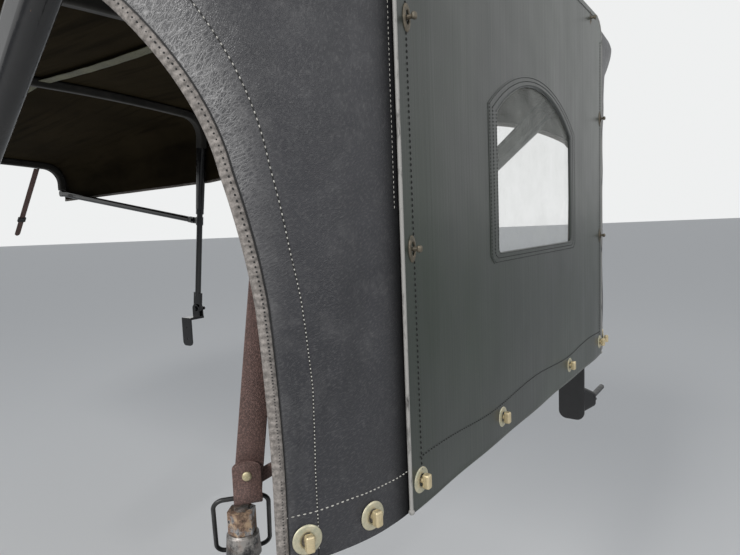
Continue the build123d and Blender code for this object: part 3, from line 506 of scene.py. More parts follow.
def bow_cover_finish():
    """Dark cloth wound and stitched over a wooden bow."""
    f = Finish("bow_cloth", Roughness=0.85, Specular_IOR_Level=0.2, Sheen_Weight=0.2)
    dark = (0.016, 0.015, 0.013)
    f.set("Base Color", f.laid(dark, shade(dark, 2.6), f.grain(8.0, 4.0), 0.4, 0.7))
    f.bump(f.cells(900.0), 0.0003, 0.7)
    f.bump(f.grain(40.0, 3.0), 0.001, 0.4)
    return f.material


MATERIALS = {}


def finish(name):
    """A material by its name, made once from the scene's settings."""
    if name not in MATERIALS:
        scene = bpy.context.scene
        leather, curtain, stitch = scene.top_leather, scene.top_curtain, scene.top_stitch
        metal, strap = scene.top_metal, scene.top_strap
        maker, *inputs = {
            "leather": (leather_finish, leather),
            "lining": (lining_finish, leather),
            "binding": (binding_finish, leather),
            "curtain": (curtain_finish, curtain),
            "welt": (welt_finish, curtain),
            "pale_thread": (thread_finish, "pale_thread", stitch.pale_colour),
            "dark_thread": (thread_finish, "dark_thread", stitch.dark_colour),
            "pane": (pane_finish,),
            "paint": (paint_finish, metal),
            "iron": (iron_finish, metal),
            "rust": (rust_finish, metal),
            "plating": (plating_finish, "worn_plating", metal.washer_colour, (0.36, 0.37, 0.27), 0.38),
            "bronze": (plating_finish, "dark_bronze", (0.16, 0.135, 0.10), (0.05, 0.05, 0.04), 0.42),
            "head": (plating_finish, "worn_brass_head", (0.70, 0.58, 0.36), (0.50, 0.42, 0.26), 0.34),
            "brass": (plating_finish, "dull_brass", (0.62, 0.55, 0.36), (0.35, 0.30, 0.17), 0.35),
            "wire": (plating_finish, "black_wire", (0.05, 0.05, 0.05), (0.015, 0.015, 0.015), 0.3),
            "strap": (strap_finish, strap),
            "webbing": (webbing_finish, strap),
            "bow": (bow_cover_finish,),
        }[name]
        MATERIALS[name] = maker(*inputs)
    return MATERIALS[name]


# Modelling helpers


def deselect():
    bpy.ops.object.select_all(action="DESELECT")


def choose(*pieces):
    """Selects these pieces and no others, the first as the active one."""
    deselect()
    for piece in pieces:
        piece.select_set(True)
    bpy.context.view_layer.objects.active = pieces[0]


def named(name, *materials):
    """The object just added, under its own name and with its materials."""
    piece = bpy.context.object
    piece.name = piece.data.name = name
    for material in materials:
        piece.data.materials.append(finish(material))
    return piece


def points_of(mesh):
    points = np.zeros(len(mesh.vertices) * 3)
    mesh.vertices.foreach_get("co", points)
    return points.reshape(-1, 3)


def put_points(mesh, points):
    mesh.vertices.foreach_set("co", np.asarray(points, np.float64).ravel())
    mesh.update()


def apply_modifiers(piece):
    choose(piece)
    for modifier in list(piece.modifiers):
        bpy.ops.object.modifier_apply(modifier=modifier.name)


def apply_place(rotation=False, scale=False):
    bpy.ops.object.transform_apply(location=True, rotation=rotation, scale=scale)


def smooth(piece, degrees=40):
    choose(piece)
    bpy.ops.object.shade_smooth_by_angle(angle=math.radians(degrees))


def unit(vectors):
    return vectors / np.linalg.norm(vectors, axis=1)[:, None]


def clouds(a, b, scale_a, scale_b, layer):
    """Smooth noise for each pair of coordinates."""
    return np.array([noise.noise(Vector((p * scale_a, q * scale_b, layer))) for p, q in zip(a, b)])


def put_uv(mesh, layer, across, along):
    """Fills a UV map from the two values of each point."""
    loops = np.zeros(len(mesh.loops), np.int64)
    mesh.loops.foreach_get("vertex_index", loops)
    uv = np.column_stack((across[loops], along[loops])).astype(np.float32)
    layer.data.foreach_set("uv", uv.ravel())


def cloth_grid(name, columns, rows, place, flat, materials, **attributes):
    """A sheet as a grid: place(u, v) gives its points, flat(u, v) its UV map in metres."""
    deselect()
    bpy.ops.mesh.primitive_grid_add(x_subdivisions=columns, y_subdivisions=rows, size=1)
    piece = named(name, *materials)
    rest = points_of(piece.data)
    u, v = rest[:, 0] + 0.5, rest[:, 1] + 0.5
    put_points(piece.data, np.column_stack(place(u, v)))
    put_uv(piece.data, piece.data.uv_layers.active, *flat(u, v))
    for attribute, values in attributes.items():
        made = piece.data.attributes.new(attribute, "FLOAT", "POINT")
        made.data.foreach_set("value", values(u, v).astype(np.float32))
    return piece


def turn_faces(piece, outward):
    """Turns the faces over if most of them face against outward(points)."""
    centres = np.array([p.center for p in piece.data.polygons])
    normals = np.array([p.normal for p in piece.data.polygons])
    if (normals * outward(centres)).sum() < 0:
        piece.data.flip_normals()


def thicken(piece, thickness, inner=0, rim=0):
    """Gives a sheet its thickness inwards, with its inner face and its rim in other materials."""
    solid = piece.modifiers.new("thickness", "SOLIDIFY")
    solid.thickness, solid.offset = thickness, -1
    solid.use_even_offset = True
    solid.material_offset, solid.material_offset_rim = inner, rim
    apply_modifiers(piece)
    smooth(piece)


def both_sides(piece):
    """A left piece and its mirrored twin with a mesh of its own, each with the name of its side."""
    twin = piece.copy()
    twin.data = piece.data.copy()
    twin.name = twin.data.name = piece.name.replace("left", "right")
    bpy.context.collection.objects.link(twin)
    put_points(twin.data, points_of(twin.data) * (1, -1, 1))
    twin.data.flip_normals()
    return (piece, "left"), (twin, "right")


def settle(piece, replaced=None):
    """Fixes a piece's placing into its points, and hides the node it stands for."""
    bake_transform(piece)
    if replaced:
        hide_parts(replaced)


def arc(p, q, r, count):
    """Points from p through q to r along their circle, without the last."""
    p, q, r = (np.array(point, float) for point in (p, q, r))
    system = 2 * np.array([q - p, r - p])
    centre = np.linalg.solve(system, [q @ q - p @ p, r @ r - p @ p])
    angles = np.unwrap([math.atan2(*(point - centre)[::-1]) for point in (p, q, r)])
    radius = np.linalg.norm(p - centre)
    turns = np.linspace(angles[0], angles[2], count, endpoint=False)
    return centre + radius * np.column_stack((np.cos(turns), np.sin(turns)))


def lengths_along(points):
    """Each point's distance from the first, along the line."""
    steps = np.linalg.norm(np.diff(points, axis=0), axis=1)
    return np.concatenate(([0.0], np.cumsum(steps)))


def resample(points, count):
    """The same line with evenly spaced points."""
    points = np.asarray(points, float)
    along = lengths_along(points)
    wanted = np.linspace(0, along[-1], count)
    return np.column_stack([np.interp(wanted, along, points[:, k]) for k in range(points.shape[1])])


def tidy_normals(piece):
    """Merges points that coincide and turns the faces outwards."""
    shape = bmesh.new()
    shape.from_mesh(piece.data)
    bmesh.ops.remove_doubles(shape, verts=shape.verts, dist=1e-6)
    bmesh.ops.recalc_face_normals(shape, faces=shape.faces)
    shape.to_mesh(piece.data)
    shape.free()


def from_lists(name, points, faces, material):
    """A piece from its points and faces, tidied."""
    mesh = bpy.data.meshes.new(name)
    mesh.from_pydata(points.tolist(), [], faces)
    mesh.materials.append(finish(material))
    piece = bpy.data.objects.new(name, mesh)
    bpy.context.collection.objects.link(piece)
    tidy_normals(piece)
    return piece


def tube_faces(count, around, closed=False):
    """Faces that join rings of points, each ring to the next, and the last to the first if closed."""
    faces = []
    for i in range(count if closed else count - 1):
        for j in range(around):
            k, n = (i + 1) % count, (j + 1) % around
            faces.append((i * around + j, i * around + n, k * around + n, k * around + j))
    return faces


def swept(name, path, outward, profile, material, widths=1.0):
    """A profile of (across, out) points swept along a path, whose outward directions are given."""
    path, profile = np.asarray(path, float), np.asarray(profile, float)
    tangents = unit(np.gradient(path, axis=0))
    across = unit(np.cross(np.asarray(outward, float), tangents))
    out = np.cross(tangents, across)
    sides = np.broadcast_to(widths, len(path))[:, None] * profile[None, :, 0]
    rings = path[:, None, :] + sides[:, :, None] * across[:, None, :]
    rings = rings + profile[None, :, 1, None] * out[:, None, :]
    count, around = len(path), len(profile)
    ends = [tuple(range(around - 1, -1, -1)), tuple((count - 1) * around + j for j in range(around))]
    piece = from_lists(name, rings.reshape(-1, 3), tube_faces(count, around) + ends, material)
    index = np.arange(count * around)
    layer = piece.data.uv_layers.new(name="UVMap")
    put_uv(piece.data, layer, lengths_along(profile)[index % around], lengths_along(path)[index // around])
    smooth(piece, 50)
    return piece


def round_profile(radius, sides=10):
    turns = [2 * math.pi * k / sides for k in range(sides)]
    return [(radius * math.cos(t), radius * math.sin(t)) for t in turns]


def stitch_template():
    """One stitch lying along X, a capsule with its ends sunk, shaped from a small sphere."""
    settings = bpy.context.scene.top_stitch
    deselect()
    bpy.ops.mesh.primitive_uv_sphere_add(segments=6, ring_count=5, radius=1)
    mesh = bpy.context.object.data
    points, faces = points_of(mesh), [tuple(p.vertices) for p in mesh.polygons]
    bpy.data.objects.remove(bpy.context.object)
    bpy.data.meshes.remove(mesh)
    long = points[:, 2] * settings.length / 2
    sunk = -settings.radius * 0.9 * np.abs(points[:, 2]) ** 3
    shape = np.column_stack((long, points[:, 0] * settings.radius, points[:, 1] * settings.radius + sunk))
    return shape, faces


def stitches(name, lines, material, pitch, thick=1.0, short=1.0):
    """Rows of stitches along lines, each given as (points, outward directions).

    The pitch is one length, or a table of distances from a line's start and the pitches there.
    """
    table = np.array(pitch if isinstance(pitch, tuple) else [(0, pitch)])
    shape, faces = stitch_template()
    shape = shape * (short, thick, thick)
    verts, polygons = [], []
    for points, outward in lines:
        distance = lengths_along(points)
        local = np.interp(distance, table[:, 0], table[:, 1])
        ticks = np.concatenate(([0], np.cumsum(np.diff(distance) * 2 / (local[1:] + local[:-1]))))
        wanted = np.linspace(0, ticks[-1], max(int(ticks[-1]), 2))
        both = np.column_stack([np.interp(wanted, ticks, c) for c in (*points.T, *outward.T, local)])
        at, up, stretch = both[:, :3], both[:, 3:6], both[:, 6] / table[:, 1].max()
        along = unit(np.gradient(at, axis=0))
        side = unit(np.cross(up, along))
        up = np.cross(along, side)
        for k in range(len(wanted)):
            start = len(verts) * len(shape)
            verts.append(at[k] + (shape * (stretch[k], 1, 1)) @ np.array([along[k], side[k], up[k]]))
            polygons += [tuple(start + i for i in face) for face in faces]
    piece = from_lists(name, np.concatenate(verts), polygons, material)
    piece.data.polygons.foreach_set("use_smooth", [True] * len(piece.data.polygons))
    return piece


# The cover's shape


def corner_radii(z):
    """The rear corner's radii from above, front to back and side to side, which tighten with height."""
    return [np.interp(z, heights, (CORNER_R, TOP_CORNER_R)) for heights in (CORNER_DEEP, CORNER_WIDE)]


def plan(s, z):
    """Round the quarters' outline: x, y and the outward direction at a length s from the middle."""
    deep, wide = corner_radii(z)
    flat = HALF - wide
    turn = np.clip((s - flat) / wide, 0, math.pi / 2)
    x = deep * (1 - np.cos(turn)) + np.maximum(s - flat - wide * math.pi / 2, 0)
    y = flat + wide * np.sin(turn) + np.minimum(s - flat, 0)
    out = np.hypot(wide * np.cos(turn), deep * np.sin(turn))
    return x, y, -wide * np.cos(turn) / out, deep * np.sin(turn) / out


def plan_length(x, z):
    """The length round the outline at which the quarter's side has come forward to x."""
    deep, wide = corner_radii(z)
    turn = np.arccos(np.clip(1 - x / deep, 0, 1))
    return HALF - wide + wide * turn + np.maximum(x - deep, 0)


def front_edge():
    """The quarter's front edge laid flat, as (length round the outline, height)."""
    line = [np.array([[FRONT_EDGE[0][0], HEM_Z]])]
    for n in range(0, len(FRONT_EDGE) - 2, 2):
        line.append(arc(*FRONT_EDGE[n:n + 3], 30))
    line = np.concatenate([*line, [FRONT_EDGE[-1]]])
    return resample(np.column_stack((plan_length(line[:, 0], line[:, 1]), line[:, 1])), 400)


EDGE = front_edge()
EDGE_LONG = lengths_along(EDGE)[-1]
EDGE_RUN = unit(np.gradient(EDGE, axis=0))

# Soft folds in a quarter: how far from its edge, height, half width, half height, and depth
QUARTER_FOLDS = [
    (0.060, 0.120, 0.010, 0.055, -0.0016),
    (0.072, 0.170, 0.012, 0.080, 0.0012),
    (0.095, 0.075, 0.009, 0.045, 0.0012),
    (0.030, 0.090, 0.008, 0.060, -0.0012),
    (0.110, 0.240, 0.016, 0.110, -0.0012),
    (0.020, 0.260, 0.012, 0.090, 0.0010),
    (0.075, 0.420, 0.020, 0.090, 0.0014),
    (0.050, 0.330, 0.012, 0.070, -0.0010),
]


def quarter_relief(s, z):
    """How far the quarter's leather stands off its smooth shape, fading out under the curtain."""
    inward = np.interp(z, EDGE[:, 1], EDGE[:, 0]) - s
    relief = np.zeros_like(s)
    for from_edge, height, wide, tall, depth in QUARTER_FOLDS:
        lean = from_edge + 0.10 * (z - height)
        relief += 1.5 * depth * np.exp(-((inward - lean) / wide) ** 2 - ((z - height) / tall) ** 2)
    cloud = clouds(s, z, 22, 16, 1.7)
    crush = clouds(s, z, 120, 120, 4.1)
    relief += 0.0020 * cloud + 0.00045 * crush * np.exp(-(inward / 0.05) ** 2)
    free = np.clip((s - CURTAIN_HALF - 0.004) / 0.03, 0, 1) * np.clip((SEAM_Z - z) / 0.03, 0, 1)
    hem = np.clip((z - HEM_Z) / 0.02, 0.3, 1)
    return relief * free * hem


def quarter_flat(u, v):
    """From the grid to the flat quarter: its rows fan out from the return to the front edge."""
    along = v * (len(EDGE) - 1)
    edge_s, edge_z = (np.interp(along, np.arange(len(EDGE)), EDGE[:, k]) for k in (0, 1))
    back_z = HEM_Z + v * (SEAM_Z - HEM_Z)
    return RETURN_Y + u * (edge_s - RETURN_Y), back_z + u * (edge_z - back_z)


def quarter_point(s, z, off=0.0):
    """Points on the left quarter's outside and their outward directions."""
    x, y, nx, ny = plan(s, z)
    lift = quarter_relief(s, z) + off
    return np.column_stack((x + nx * lift, y + ny * lift, z)), np.column_stack((nx, ny, 0 * nx))


def quarter_line(inset, low=0.0, high=1.0, off=0.0):
    """A line at an inset from the quarter's front edge, on its surface, with its outward directions."""
    inward = np.column_stack((-EDGE_RUN[:, 1], EDGE_RUN[:, 0]))
    line = EDGE + inward * np.broadcast_to(inset, len(EDGE))[:, None]
    line = resample(line[int(low * (len(line) - 1)):int(high * (len(line) - 1)) + 1], len(EDGE))
    return quarter_point(line[:, 0], line[:, 1], off)


def quarter_hem_line(short):
    """The stitched line above the quarter's hem, a little wavy, short of the front edge by a length."""
    z = HEM_Z + HEM_ROW_UP
    s = np.linspace(CURTAIN_HALF + 0.002, np.interp(z, EDGE[:, 1], EDGE[:, 0]) - short, 120)
    return quarter_point(s, z + 0.0007 * np.sin(s * 55), SEWN_OFF)


def section_values(x):
    """Inside height, lower edge and edge radius of the roof at x, straight from bow to bow."""
    rows = np.array(list(SECTIONS.values()))
    return [np.interp(x, rows[:, 0], rows[:, k]) for k in (1, 2, 3)]


def roof_point(x, t):
    """A point on the roof's outside at x, t from 0 at the left lower edge to 1 at the right."""
    inside, low, radius = section_values(x)
    top = inside + CLOTH
    side = np.where(t < 0.5, 1.0, -1.0)
    h = 1 - np.abs(2 * t - 1)
    lean = np.arcsin((HALF - radius) / (CROWN_R - radius))
    bend_z = top - CROWN_R + (CROWN_R - radius) * np.cos(lean)
    # Shares of the half round: the upright side up to wall, the rounded edge up to bend, then the crown
    wall, bend = 0.22, 0.40
    z_wall = low + (bend_z - low) * np.clip(h / wall, 0, 1)
    turn = np.clip((h - wall) / (bend - wall), 0, 1) * (math.pi / 2 - lean)
    y = np.where(h < wall, HALF, HALF - radius + radius * np.cos(turn))
    z = np.where(h < wall, z_wall, bend_z + radius * np.sin(turn))
    over = h >= bend
    slope = lean * (1 - np.clip((h - bend) / (1 - bend), 0, 1))
    y = np.where(over, CROWN_R * np.sin(slope), y)
    z = np.where(over, top - CROWN_R + CROWN_R * np.cos(slope), z)
    deep, wide = corner_radii(z)
    back = np.clip(1 - x / deep, 0, 1)
    half = HALF - wide + wide * np.sqrt(1 - back ** 2)
    return x, side * y * half / HALF, z


def roof_sag(x, y):
    """How far the roof's cloth sinks between its bows."""
    bows = np.array([row[0] for row in SECTIONS.values()])
    place = np.clip(np.searchsorted(bows, x, side="right") - 1, 0, len(bows) - 2)
    share = (x - bows[place]) / (bows[place + 1] - bows[place])
    middle = np.clip(1 - (np.abs(y) / 0.60) ** 4, 0, 1)
    return bpy.context.scene.top_leather.sag * np.sin(math.pi * np.clip(share, 0, 1)) * middle


def roof_side_wave(x, z):
    """The roof's hanging sides swell a little between the bows."""
    low = section_values(x)[1]
    hang = np.clip(1 - (z - low) / 0.12, 0, 1)
    return 0.0015 * hang * np.sin(x * 21)


def bay_place(x_from, x_to, easing):
    """Points of a bay's grid, whose rows the easing shares out along it."""
    def place(u, v):
        x, y, z = roof_point(x_from + v ** easing * (x_to - x_from), u)
        swell = roof_side_wave(x, z) * (np.abs(y) > 0.6)
        return x, y + np.sign(y) * swell, z - roof_sag(x, y)
    return place


# Pieces


class TOP_OT_quarters(bpy.types.Operator):
    """Leather quarters that wrap the rear corners, with their edge binding and stitching"""

    bl_idname = "folding_top.quarters"
    bl_label = "Quarters"

    def execute(self, context):
        settings = context.scene.top_leather
        left = self.leather()
        path, outward = quarter_line(0.0)
        wide = settings.binding_wide
        bound = swept("quarter_binding_left", path, outward, self.binding_profile(wide), "binding")
        drift = np.interp(np.linspace(0, EDGE_LONG, len(EDGE)), *np.array(SEAM_DRIFT).T)
        inset = settings.seam_inset + drift
        seam = quarter_line(inset, 0.015, 0.985, SEWN_OFF)
        hem_row = quarter_hem_line(wide)
        line_z = np.linspace(BACK_ROW_Z, SEAM_Z - 0.01, 160)
        back_row = quarter_point(np.full(len(line_z), CURTAIN_HALF + BACK_ROW_IN), line_z, 0.0003)
        edge_row = quarter_line(wide * 0.62, 0.0, 0.99, 0.0018)
        trims = [
            bound,
            stitches("quarter_seam_left", [seam], "pale_thread", SEAM_PITCH, 1.0, 0.8),
            stitches("quarter_hem_stitches_left", [hem_row], "pale_thread", HEM_PITCH, 1.0, 0.8),
            stitches("quarter_back_seam_left", [back_row], "pale_thread", BACK_PITCH, 0.5, 0.7),
            stitches("binding_stitches_left", [edge_row], "dark_thread", BINDING_PITCH, 1.5, 0.75),
        ]
        # Painted shade: thin dark tubes along the binding's inner edge and under the inner seam, where the
        # grooves fall in shade
        shade_lines = quarter_line(wide + 0.0007, 0.0, 0.99), quarter_line(inset, 0.0, 0.99, -0.0002)
        for n, line in enumerate(shade_lines):
            trims.append(swept(f"quarter_groove_{n}_left", *line, round_profile(SHADE_LINE_R, 6), "dark_thread"))
        for each, side in both_sides(left):
            settle(each, f"quarter_{side}")
        for piece in trims:
            for each, _ in both_sides(piece):
                settle(each)
        return {"FINISHED"}

    def leather(self):
        def place(u, v):
            return quarter_point(*quarter_flat(u, v))[0].T

        def flat(u, v):
            """How far a point lies from the bound edge, and how far along the edge."""
            at = np.column_stack(quarter_flat(u, v))
            away = np.hypot(at[:, :1] - EDGE[:, 0], at[:, 1:] - EDGE[:, 1])
            nearest = away.argmin(axis=1)
            past = ((at - EDGE[nearest]) * EDGE_RUN[nearest]).sum(axis=1)
            return away.min(axis=1), nearest * EDGE_LONG / (len(EDGE) - 1) + past

        def near_edge(u, v):
            """Where the leather is crushed, with worn pale creases that are partly a painted highlight: a
            band along the edge, wider and stronger towards the top.
            """
            inward, along = flat(u, v)
            wide, strength = np.interp(along, *CRUSH_WIDE), np.interp(along, *CRUSH_STRENGTH)
            return strength * np.exp(-(inward / wide) ** 2) * np.clip((1.02 - v) * 9, 0, 1)

        def near_back(u, v):
            """Where the leather is painted dark with shade, and made dull, next to the curtain."""
            past = np.maximum(quarter_flat(u, v)[0] - CURTAIN_HALF, 0)
            return np.exp(-(past / SHADE_WIDE) ** 2)

        piece = cloth_grid("leather_quarter_left", 96, 190, place, flat, ("leather", "lining", "binding"),
                           near_edge=near_edge, near_back=near_back)
        turn_faces(piece, lambda c: (c - 0.3) * (1, 1, 0))
        thicken(piece, CLOTH, inner=1, rim=2)
        return piece

    def binding_profile(self, wide):
        """The strip folded round the edge: its outside from the inner border, the fold, its inside."""
        return [
            (-wide, 0.0001), (-wide + 0.0009, 0.0014), (-wide * 0.62, 0.0021), (-wide * 0.35, 0.0022),
            (-0.0012, 0.0012), (0.0006, -0.0006), (0.0008, -0.0024), (-0.0006, -0.0042),
            (-wide * 0.5, -0.0050), (-wide, -0.0036),
        ]


def curtain_face(y, z):
    """Where the curtain's outside lies: it swells a little between its edges and ripples at the hem."""
    cloud = clouds(y, z, 5, 4, 0.3)
    edge = np.clip((CURTAIN_HALF - np.abs(y)) / 0.06, 0, 1)
    ripple = 0.0006 * np.sin(y * 34 + 0.7) * np.clip(1 - (z - HEM_Z) / 0.09, 0, 1)
    return -GAP - CLOTH - (0.0012 + 0.0012 * cloud) * edge - 0.0009 - ripple


def curtain_line(points, off=0.0):
    """A line of (y, z) points laid on the curtain's outside, with its outward directions."""
    y, z = np.asarray(points, float).T
    return np.column_stack((curtain_face(y, z) - off, y, z)), np.tile(BACK, (len(y), 1))


class TOP_OT_rear_curtain(bpy.types.Operator):
    """Rear curtain with its worn piping, hems and stitches"""

    bl_idname = "folding_top.rear_curtain"
    bl_label = "Rear curtain"

    def execute(self, context):
        sheet = self.sheet()
        heights = np.linspace(HEM_Z, CURTAIN_TOP, 120)
        rows, welts = [], []
        for name, side in SIDES:
            welts += self.welt(name, [(side * (self.half_at(z) - 0.0005), z) for z in heights])
            z = heights[6:-8]
            flare = SIDE_ROW_FLARE * (1 - (z - HEM_Z) / SIDE_ROW_LONG)
            y = side * (CURTAIN_HALF - SIDE_ROW_IN - flare)
            rows.append(curtain_line(np.column_stack((y, z)), SEWN_OFF))
        across = np.linspace(-CURTAIN_HALF + 0.02, CURTAIN_HALF - 0.02, 220)
        low_row = [(y, LOW_ROW_Z + LOW_ROW_WAVE * math.sin(y * 19 + 1.0)) for y in across]
        top_row = [(y, CURTAIN_TOP - TOP_ROW_DOWN) for y in across[10:-10]]
        rows += [curtain_line(low_row, SEWN_OFF), curtain_line(top_row, SEWN_OFF)]
        sewn = stitches("curtain_stitches", rows, "dark_thread", CURTAIN_PITCH, thick=1.3)
        path, outward = curtain_line([(y, HEM_Z + 0.0018) for y in across * 1.052], -0.0014)
        rolled = swept("curtain_hem_roll", path, outward, round_profile(ROLL_R), "curtain")
        for piece in (sheet, sewn, rolled, *welts):
            settle(piece)
        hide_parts("rear_curtain")
        return {"FINISHED"}

    def half_at(self, z):
        """Half the curtain's width at a height, narrowed by its rounded upper corners."""
        radius = bpy.context.scene.top_curtain.corner_radius
        over = np.clip((z - (CURTAIN_TOP - radius)) / radius, 0, 1)
        return CURTAIN_HALF - radius * (1 - np.sqrt(1 - over ** 2))

    def sheet(self):
        def place(u, v):
            z = HEM_Z + (1 - (1 - v) ** 1.25) * (CURTAIN_TOP - HEM_Z)
            y = (1 - 2 * u) * self.half_at(z)
            return curtain_face(y, z), y, z

        def flat(u, v):
            return (1 - 2 * u) * CURTAIN_HALF, v * (CURTAIN_TOP - HEM_Z)

        sheet = cloth_grid("curtain_sheet", 150, 150, place, flat, ("curtain", "lining"))
        turn_faces(sheet, lambda c: BACK)
        shape = bmesh.new()
        shape.from_mesh(sheet.data)
        gone = [face for face in shape.faces if inside_pane(face.calc_center_median())]
        bmesh.ops.delete(shape, geom=gone, context="FACES")
        shape.to_mesh(sheet.data)
        shape.free()
        thicken(sheet, CLOTH, inner=1)
        return sheet

    def welt(self, side, edge):
        """The piping along one edge, and the knot at its foot."""
        radius = bpy.context.scene.top_curtain.welt_radius
        path, outward = curtain_line(edge, -0.0012)
        piping = swept(f"curtain_welt_{side}", path, outward, round_profile(radius, 12), "welt")
        deselect()
        bpy.ops.mesh.primitive_uv_sphere_add(segments=16, ring_count=10, radius=KNOT_R,
                                             location=tuple(path[0] + (0, 0, 0.002)))
        knot = named(f"welt_knot_{side}", "welt")
        apply_place()
        smooth(knot)
        return piping, knot


def window_ring(grow):
    """The window's outline grown by a rim, as evenly spaced (y, z) points from the left springing."""
    half, low, spring, top = PANE
    half, low, spring, top = half + grow, low - grow, spring + grow * 0.6, top + grow
    corner = min(0.004 + grow, 0.010)
    points = [(half, spring), *arc((half, spring), (0, top), (-half, spring), 60)[1:], (-half, spring),
              (-half, low + corner), (-half + corner, low), (half - corner, low), (half, low + corner),
              (half, spring)]
    return resample(points, 260)[:-1]


def arch_height(y, half, spring, top):
    """The height at y of an arch through its springings and its top."""
    rise = top - spring
    radius = (half ** 2 + rise ** 2) / (2 * rise)
    return top - radius + np.sqrt(np.maximum(radius ** 2 - y ** 2, 0))


def inside_pane(centre):
    """Whether a point lies in the curtain's hole for the pane."""
    half, low, spring, top = PANE
    if abs(centre.y) > half + HOLE_GROW or centre.z < low - HOLE_GROW:
        return False
    return centre.z < arch_height(centre.y, half, spring, top + HOLE_GROW)


class TOP_OT_window(bpy.types.Operator):
    """Arched window: clear sheet under a stitched patch"""

    bl_idname = "folding_top.window"
    bl_label = "Window"

    # Across the patch from the pane outwards, and how far it stands off the curtain's face
    SECTION = (
        (0.0, -0.0004), (0.03, 0.0008), (0.10, 0.0012), (0.5, 0.0010), (0.93, 0.0011), (0.99, 0.0007),
        (1.0, -0.0010), (0.5, -0.0032), (0.0, -0.0030),
    )

    def execute(self, context):
        inner, outer = window_ring(0), window_ring(PATCH_RIM)
        outer[:, 0] *= (PANE[0] + PATCH_SIDE) / (PANE[0] + PATCH_RIM)
        rings = [curtain_line(inner + (outer - inner) * share, off)[0] for share, off in self.SECTION]
        faces = tube_faces(len(inner), len(rings), closed=True)
        patch = from_lists("window_patch", np.stack(rings, axis=1).reshape(-1, 3), faces, "curtain")
        smooth(patch, 15)
        rows = []
        for share in PATCH_ROWS:
            ring = inner + (outer - inner) * share
            rows.append(curtain_line([*ring, ring[0]], 0.0013))
        sewn = stitches("window_stitches", rows, "dark_thread", WINDOW_PITCH, short=0.8)
        pane = self.pane()
        settle(patch, "window_binding")
        settle(sewn)
        settle(pane, "window_pane")
        return {"FINISHED"}

    def pane(self):
        """The clear sheet, a little wavy, with its edge under the patch."""
        deselect()
        bpy.ops.mesh.primitive_grid_add(x_subdivisions=60, y_subdivisions=50, size=1)
        pane = named("window_sheet_pane", "pane")
        half, low, spring, top = PANE
        half += PANE_TUCK
        rest = points_of(pane.data)
        u, v = rest[:, 0] * 2, rest[:, 1] + 0.5
        crown = arch_height(u * half, half, spring, top) + 0.003
        z = low - PANE_TUCK + v * (crown - low + PANE_TUCK)
        x = -GAP - CLOTH / 2 + 0.0008 * clouds(u, z, 1.3, 6, 2.0)
        put_points(pane.data, np.column_stack((x, u * half, z)))
        turn_faces(pane, lambda c: BACK)
        thicken(pane, 0.0010)
        return pane


class TOP_OT_roof(bpy.types.Operator):
    """Roof cloth in three bays over the bows, with bound lower edges"""

    bl_idname = "folding_top.roof"
    bl_label = "Roof"

    # Each bay's first and last bow, its rows, and how they crowd towards its start
    BAYS = {
        "rear": ("rear", "third", 90, 1.7),
        "mid": ("third", "main", 60, 1),
        "front": ("main", "front", 80, 1),
    }

    def execute(self, context):
        for name, (first, last, rows, easing) in self.BAYS.items():
            x_from, x_to = SECTIONS[first][0], SECTIONS[last][0]
            long = x_to - x_from
            bay = cloth_grid(f"roof_cloth_{name}", 120, rows, bay_place(x_from, x_to, easing),
                             lambda u, v: (u * 2.0, x_from + v * long), ("leather", "lining", "binding"),
                             near_edge=lambda u, v: 0.15 + 0 * u)
            if name == "rear":
                self.add_back_wall(bay)
            turn_faces(bay, lambda c: c - np.array([1.2, 0, 0.2]))
            thicken(bay, CLOTH, inner=1, rim=2)
            settle(bay, f"deck_{name}")
            self.edges(name, x_from, x_to)
        return {"FINISHED"}

    def add_back_wall(self, bay):
        """The wall of cloth at the roof's rear, from its edge in to the opening that the curtain closes."""
        low = SECTIONS["rear"][2]
        outer = np.column_stack(roof_point(np.zeros(121), np.linspace(0, 1, 121)))[:, 1:]
        inner = resample([(LIGHT_HALF, low), (LIGHT_HALF, LIGHT_TOP), (-LIGHT_HALF, LIGHT_TOP),
                          (-LIGHT_HALF, low)], 121)
        shape = bmesh.new()
        shape.from_mesh(bay.data)
        rows = []
        for share in np.linspace(0, 1, 7):
            rows.append([shape.verts.new((0.0, y, z)) for y, z in outer + (inner - outer) * share])
        for a, b in zip(rows, rows[1:]):
            for i in range(len(a) - 1):
                shape.faces.new((a[i], a[i + 1], b[i + 1], b[i]))
        bmesh.ops.remove_doubles(shape, verts=shape.verts, dist=0.0004)
        bmesh.ops.recalc_face_normals(shape, faces=shape.faces)
        shape.to_mesh(bay.data)
        shape.free()

    def edges(self, name, x_from, x_to):
        """Binding and stitches along both lower edges of a bay."""
        wide = bpy.context.scene.top_leather.binding_wide
        profile = np.array([(-wide, 0.0002), (-wide + 0.001, 0.0013), (-0.001, 0.0014), (0.0012, -0.0015),
                            (-0.0015, -0.0044), (-wide, -0.0040)])
        x = np.linspace(FRONT_EDGE[-1][0] if name == "rear" else x_from, x_to, 120)
        low = section_values(x)[1]
        y = HALF + roof_side_wave(x, low)
        sewn = []
        for side_name, side in SIDES:
            outward = np.tile((0.0, side, 0.0), (len(x), 1))
            path = np.column_stack((x, side * y, low))
            bound = swept(f"roof_binding_{name}_{side_name}", path, outward, profile * (-side, 1), "binding")
            settle(bound)
            sewn.append((path + (0, side * 0.0003, ROOF_ROW_UP), outward))
        thread = stitches(f"roof_stitches_{name}", sewn, "pale_thread", bpy.context.scene.top_stitch.pitch)
        settle(thread)


